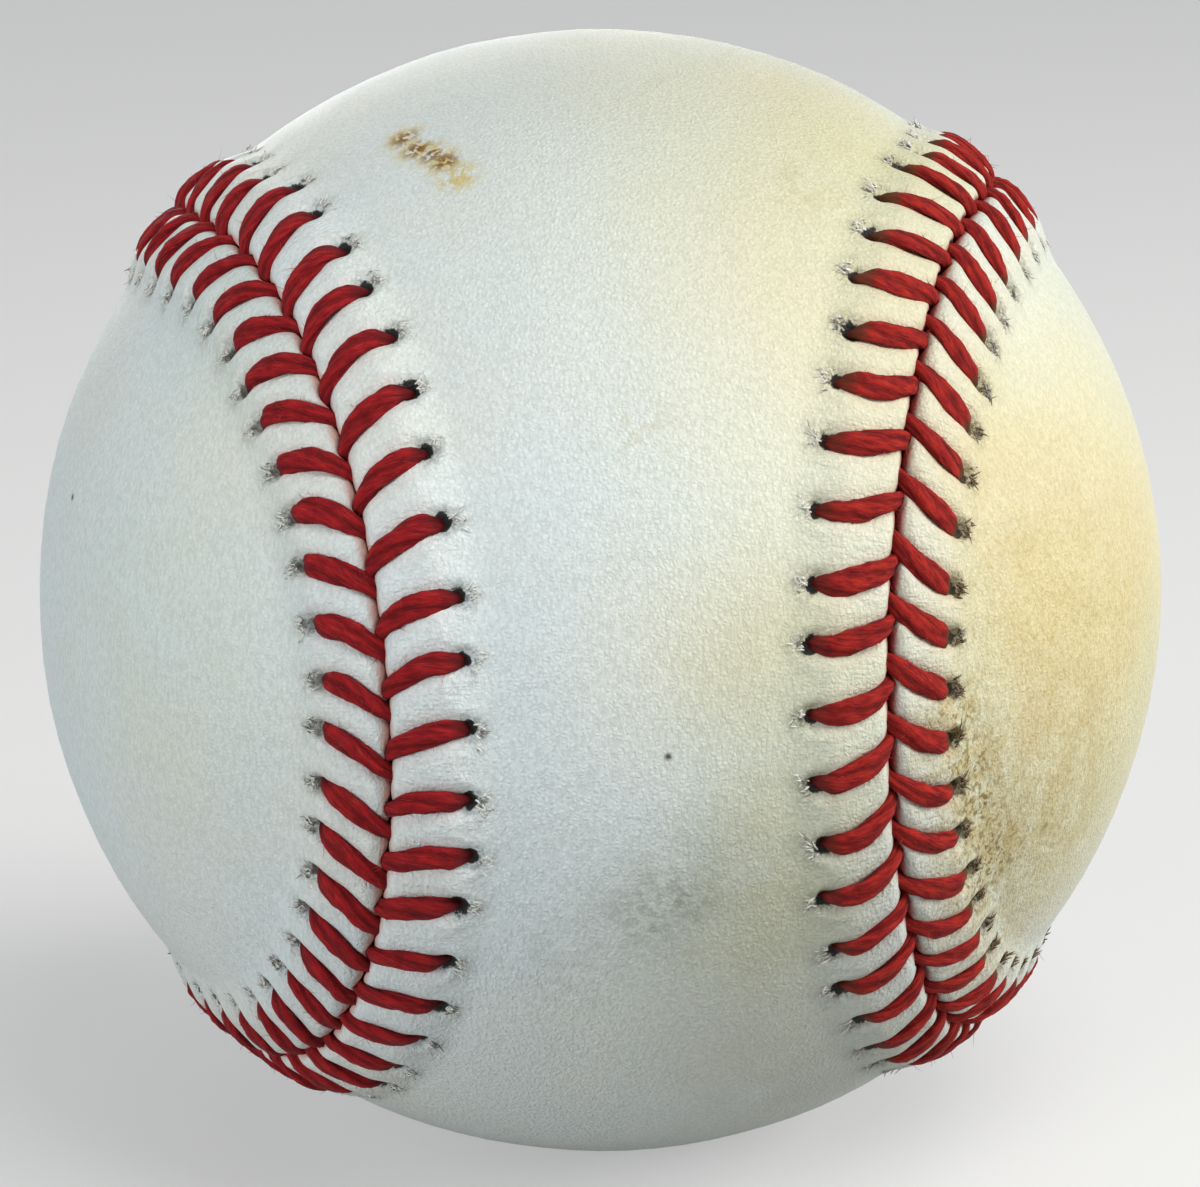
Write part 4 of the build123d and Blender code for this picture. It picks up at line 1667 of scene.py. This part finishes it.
BACK_MARKS = (
    Mark(((57.5, 12.5),), 34.0, YELLOW, 1.0, 60.0, 0.0, 0.35),
    Mark(((57.0, -6.5),), 26.0, YELLOW, 0.8, 60.0, 0.1, 0.5),
    Mark(((38.0, 22.0), (38.0, 10.0)), 11.0, YELLOW, 0.6, 90.0, 0.1, 0.5),
    Mark(((46.0, 4.5),), 19.0, MUD, 0.32, 210.0, 0.32, 0.66),
    Mark(((48.5, -3.0),), 24.0, MUD, 0.5, 2600.0, 0.46, 0.66),
    Mark(CRUST, 5.5, MUD, 0.75, 900.0, 0.36, 0.56),
    Mark(CRUST, 4.2, GRIT, 1.0, 2300.0, 0.50, 0.60),
    Mark(((44.5, -19.5),), 15.0, MUD, 0.55, 420.0, 0.25, 0.60),
    Mark(((40.0, -20.0), (38.0, -30.0)), 13.0, GRIT, 0.4, 2300.0, 0.48, 0.62),
    Mark(((46.5, -16.3),), 0.45, GRIT, 0.8, 10.0, 0.0, 0.1),
    Mark(((-72.0, 15.9),), 0.34, SPECK, 1.0, 10.0, 0.0, 0.1),
    Mark(((-50.0, 4.0),), 19.0, CHALK, 0.9, 70.0, 0.1, 0.6),
    Mark(((-50.5, 40.0),), 13.0, MIST, 0.9, 60.0, 0.0, 0.4),
)

FRONT_LEATHER = LeatherFinish(FRONT_MARKS, soiled=0.35)
BACK_LEATHER = LeatherFinish(BACK_MARKS, soiled=1.0, pit=BROWN_HOLE, hollow=0.5)
RED_THREAD = ThreadFinish()
FOUR_PLY_GREY = YarnFinish((0.12, 0.12, 0.125), (0.36, 0.36, 0.37), 4.0, 5.0)
THREE_PLY_GREY = YarnFinish((0.13, 0.13, 0.135), (0.36, 0.36, 0.37), 3.0, 4.0)
THREE_PLY_WHITE = YarnFinish((0.42, 0.40, 0.35), (0.82, 0.80, 0.74), 3.0, 4.0)
FINE_YARN = YarnFinish((0.52, 0.50, 0.46), (0.88, 0.87, 0.83), 2.0, 1.6)
BLACK_RUBBER = GrainFinish((0.02, 0.02, 0.02), (0.045, 0.045, 0.043), 700.0, 0.62, 0.05)
RED_RUBBER = GrainFinish((0.30, 0.03, 0.025), (0.46, 0.06, 0.045), 600.0, 0.58, 0.05)
CEMENT = GrainFinish((0.50, 0.38, 0.20), (0.68, 0.56, 0.34), 260.0, 0.5, 0.06)
LATEX = GrainFinish((0.72, 0.68, 0.56), (0.88, 0.85, 0.76), 320.0, 0.3, 0.05)
CORK = GrainFinish((0.30, 0.17, 0.08), (0.58, 0.40, 0.23), 900.0, 0.85, 0.25, True)

INNER_LAYERS = (
    InnerLayer("cork_core", CORK),
    InnerLayer("black_rubber_cup_upper", BLACK_RUBBER),
    InnerLayer("black_rubber_cup_lower", BLACK_RUBBER),
    InnerLayer("sealing_washer", RED_RUBBER),
    InnerLayer("red_rubber_jacket", RED_RUBBER),
    InnerLayer("pill_cement_coat", CEMENT),
    InnerLayer("adhesive_coat_front", LATEX),
    InnerLayer("adhesive_coat_back", LATEX),
)

WINDINGS = (
    YarnWinding("first_wool_winding", "first_winding_yarn", "grey_wool", 1.7, 130, FOUR_PLY_GREY),
    YarnWinding("second_wool_winding", "second_winding_yarn", "white_wool", 1.25, 170, THREE_PLY_WHITE),
    YarnWinding("third_wool_winding", "third_winding_yarn", "grey_wool", 1.25, 190, THREE_PLY_GREY),
    YarnWinding(
        "finishing_yarn_winding",
        "finishing_winding_yarn",
        "finishing_yarn",
        0.4,
        330,
        FINE_YARN,
        steps=52,
        around=4,
    ),
)


def report(piece: bpy.types.Object) -> None:
    """Logs a piece and its size."""
    low, high = np.array(piece.bound_box).min(axis=0), np.array(piece.bound_box).max(axis=0)
    sides = ", ".join(f"{side / MM:.2f}" for side in high - low)
    faces = sum(len(face.vertices) - 2 for face in piece.data.polygons)
    LOG.info("%s: %s mm, %d triangles", piece.name, sides, faces)


def main() -> None:
    """Builds every piece in order."""
    logging.basicConfig(level=logging.INFO, format="%(name)s: %(message)s")
    rng = np.random.default_rng(SEED)
    seam = Seam()
    plan = StitchPlan(seam, rng)
    cover = []
    for panel, finish in ((Panel.FRONT, FRONT_LEATHER), (Panel.BACK, BACK_LEATHER)):
        hide = LeatherPanel(panel, seam, plan, rng).build()
        hide.data.materials.append(finish.material(f"{hide.name}_finish"))
        report(hide)
        cover.append(hide)
    for name, node, first in (
        ("first_strand", "stitch_thread_first", Panel.BACK),
        ("second_strand", "stitch_thread_second", Panel.FRONT),
    ):
        strand = StitchStrand(name, node, first, seam, plan, rng).build()
        strand.data.materials.append(RED_THREAD.material(f"{name}_finish"))
        report(strand)
        cover.append(strand)
    for winding in WINDINGS:
        report(winding.build())
    for layer in INNER_LAYERS:
        report(layer.dress())
    Studio().build(cover)


if __name__ == "__main__":
    main()
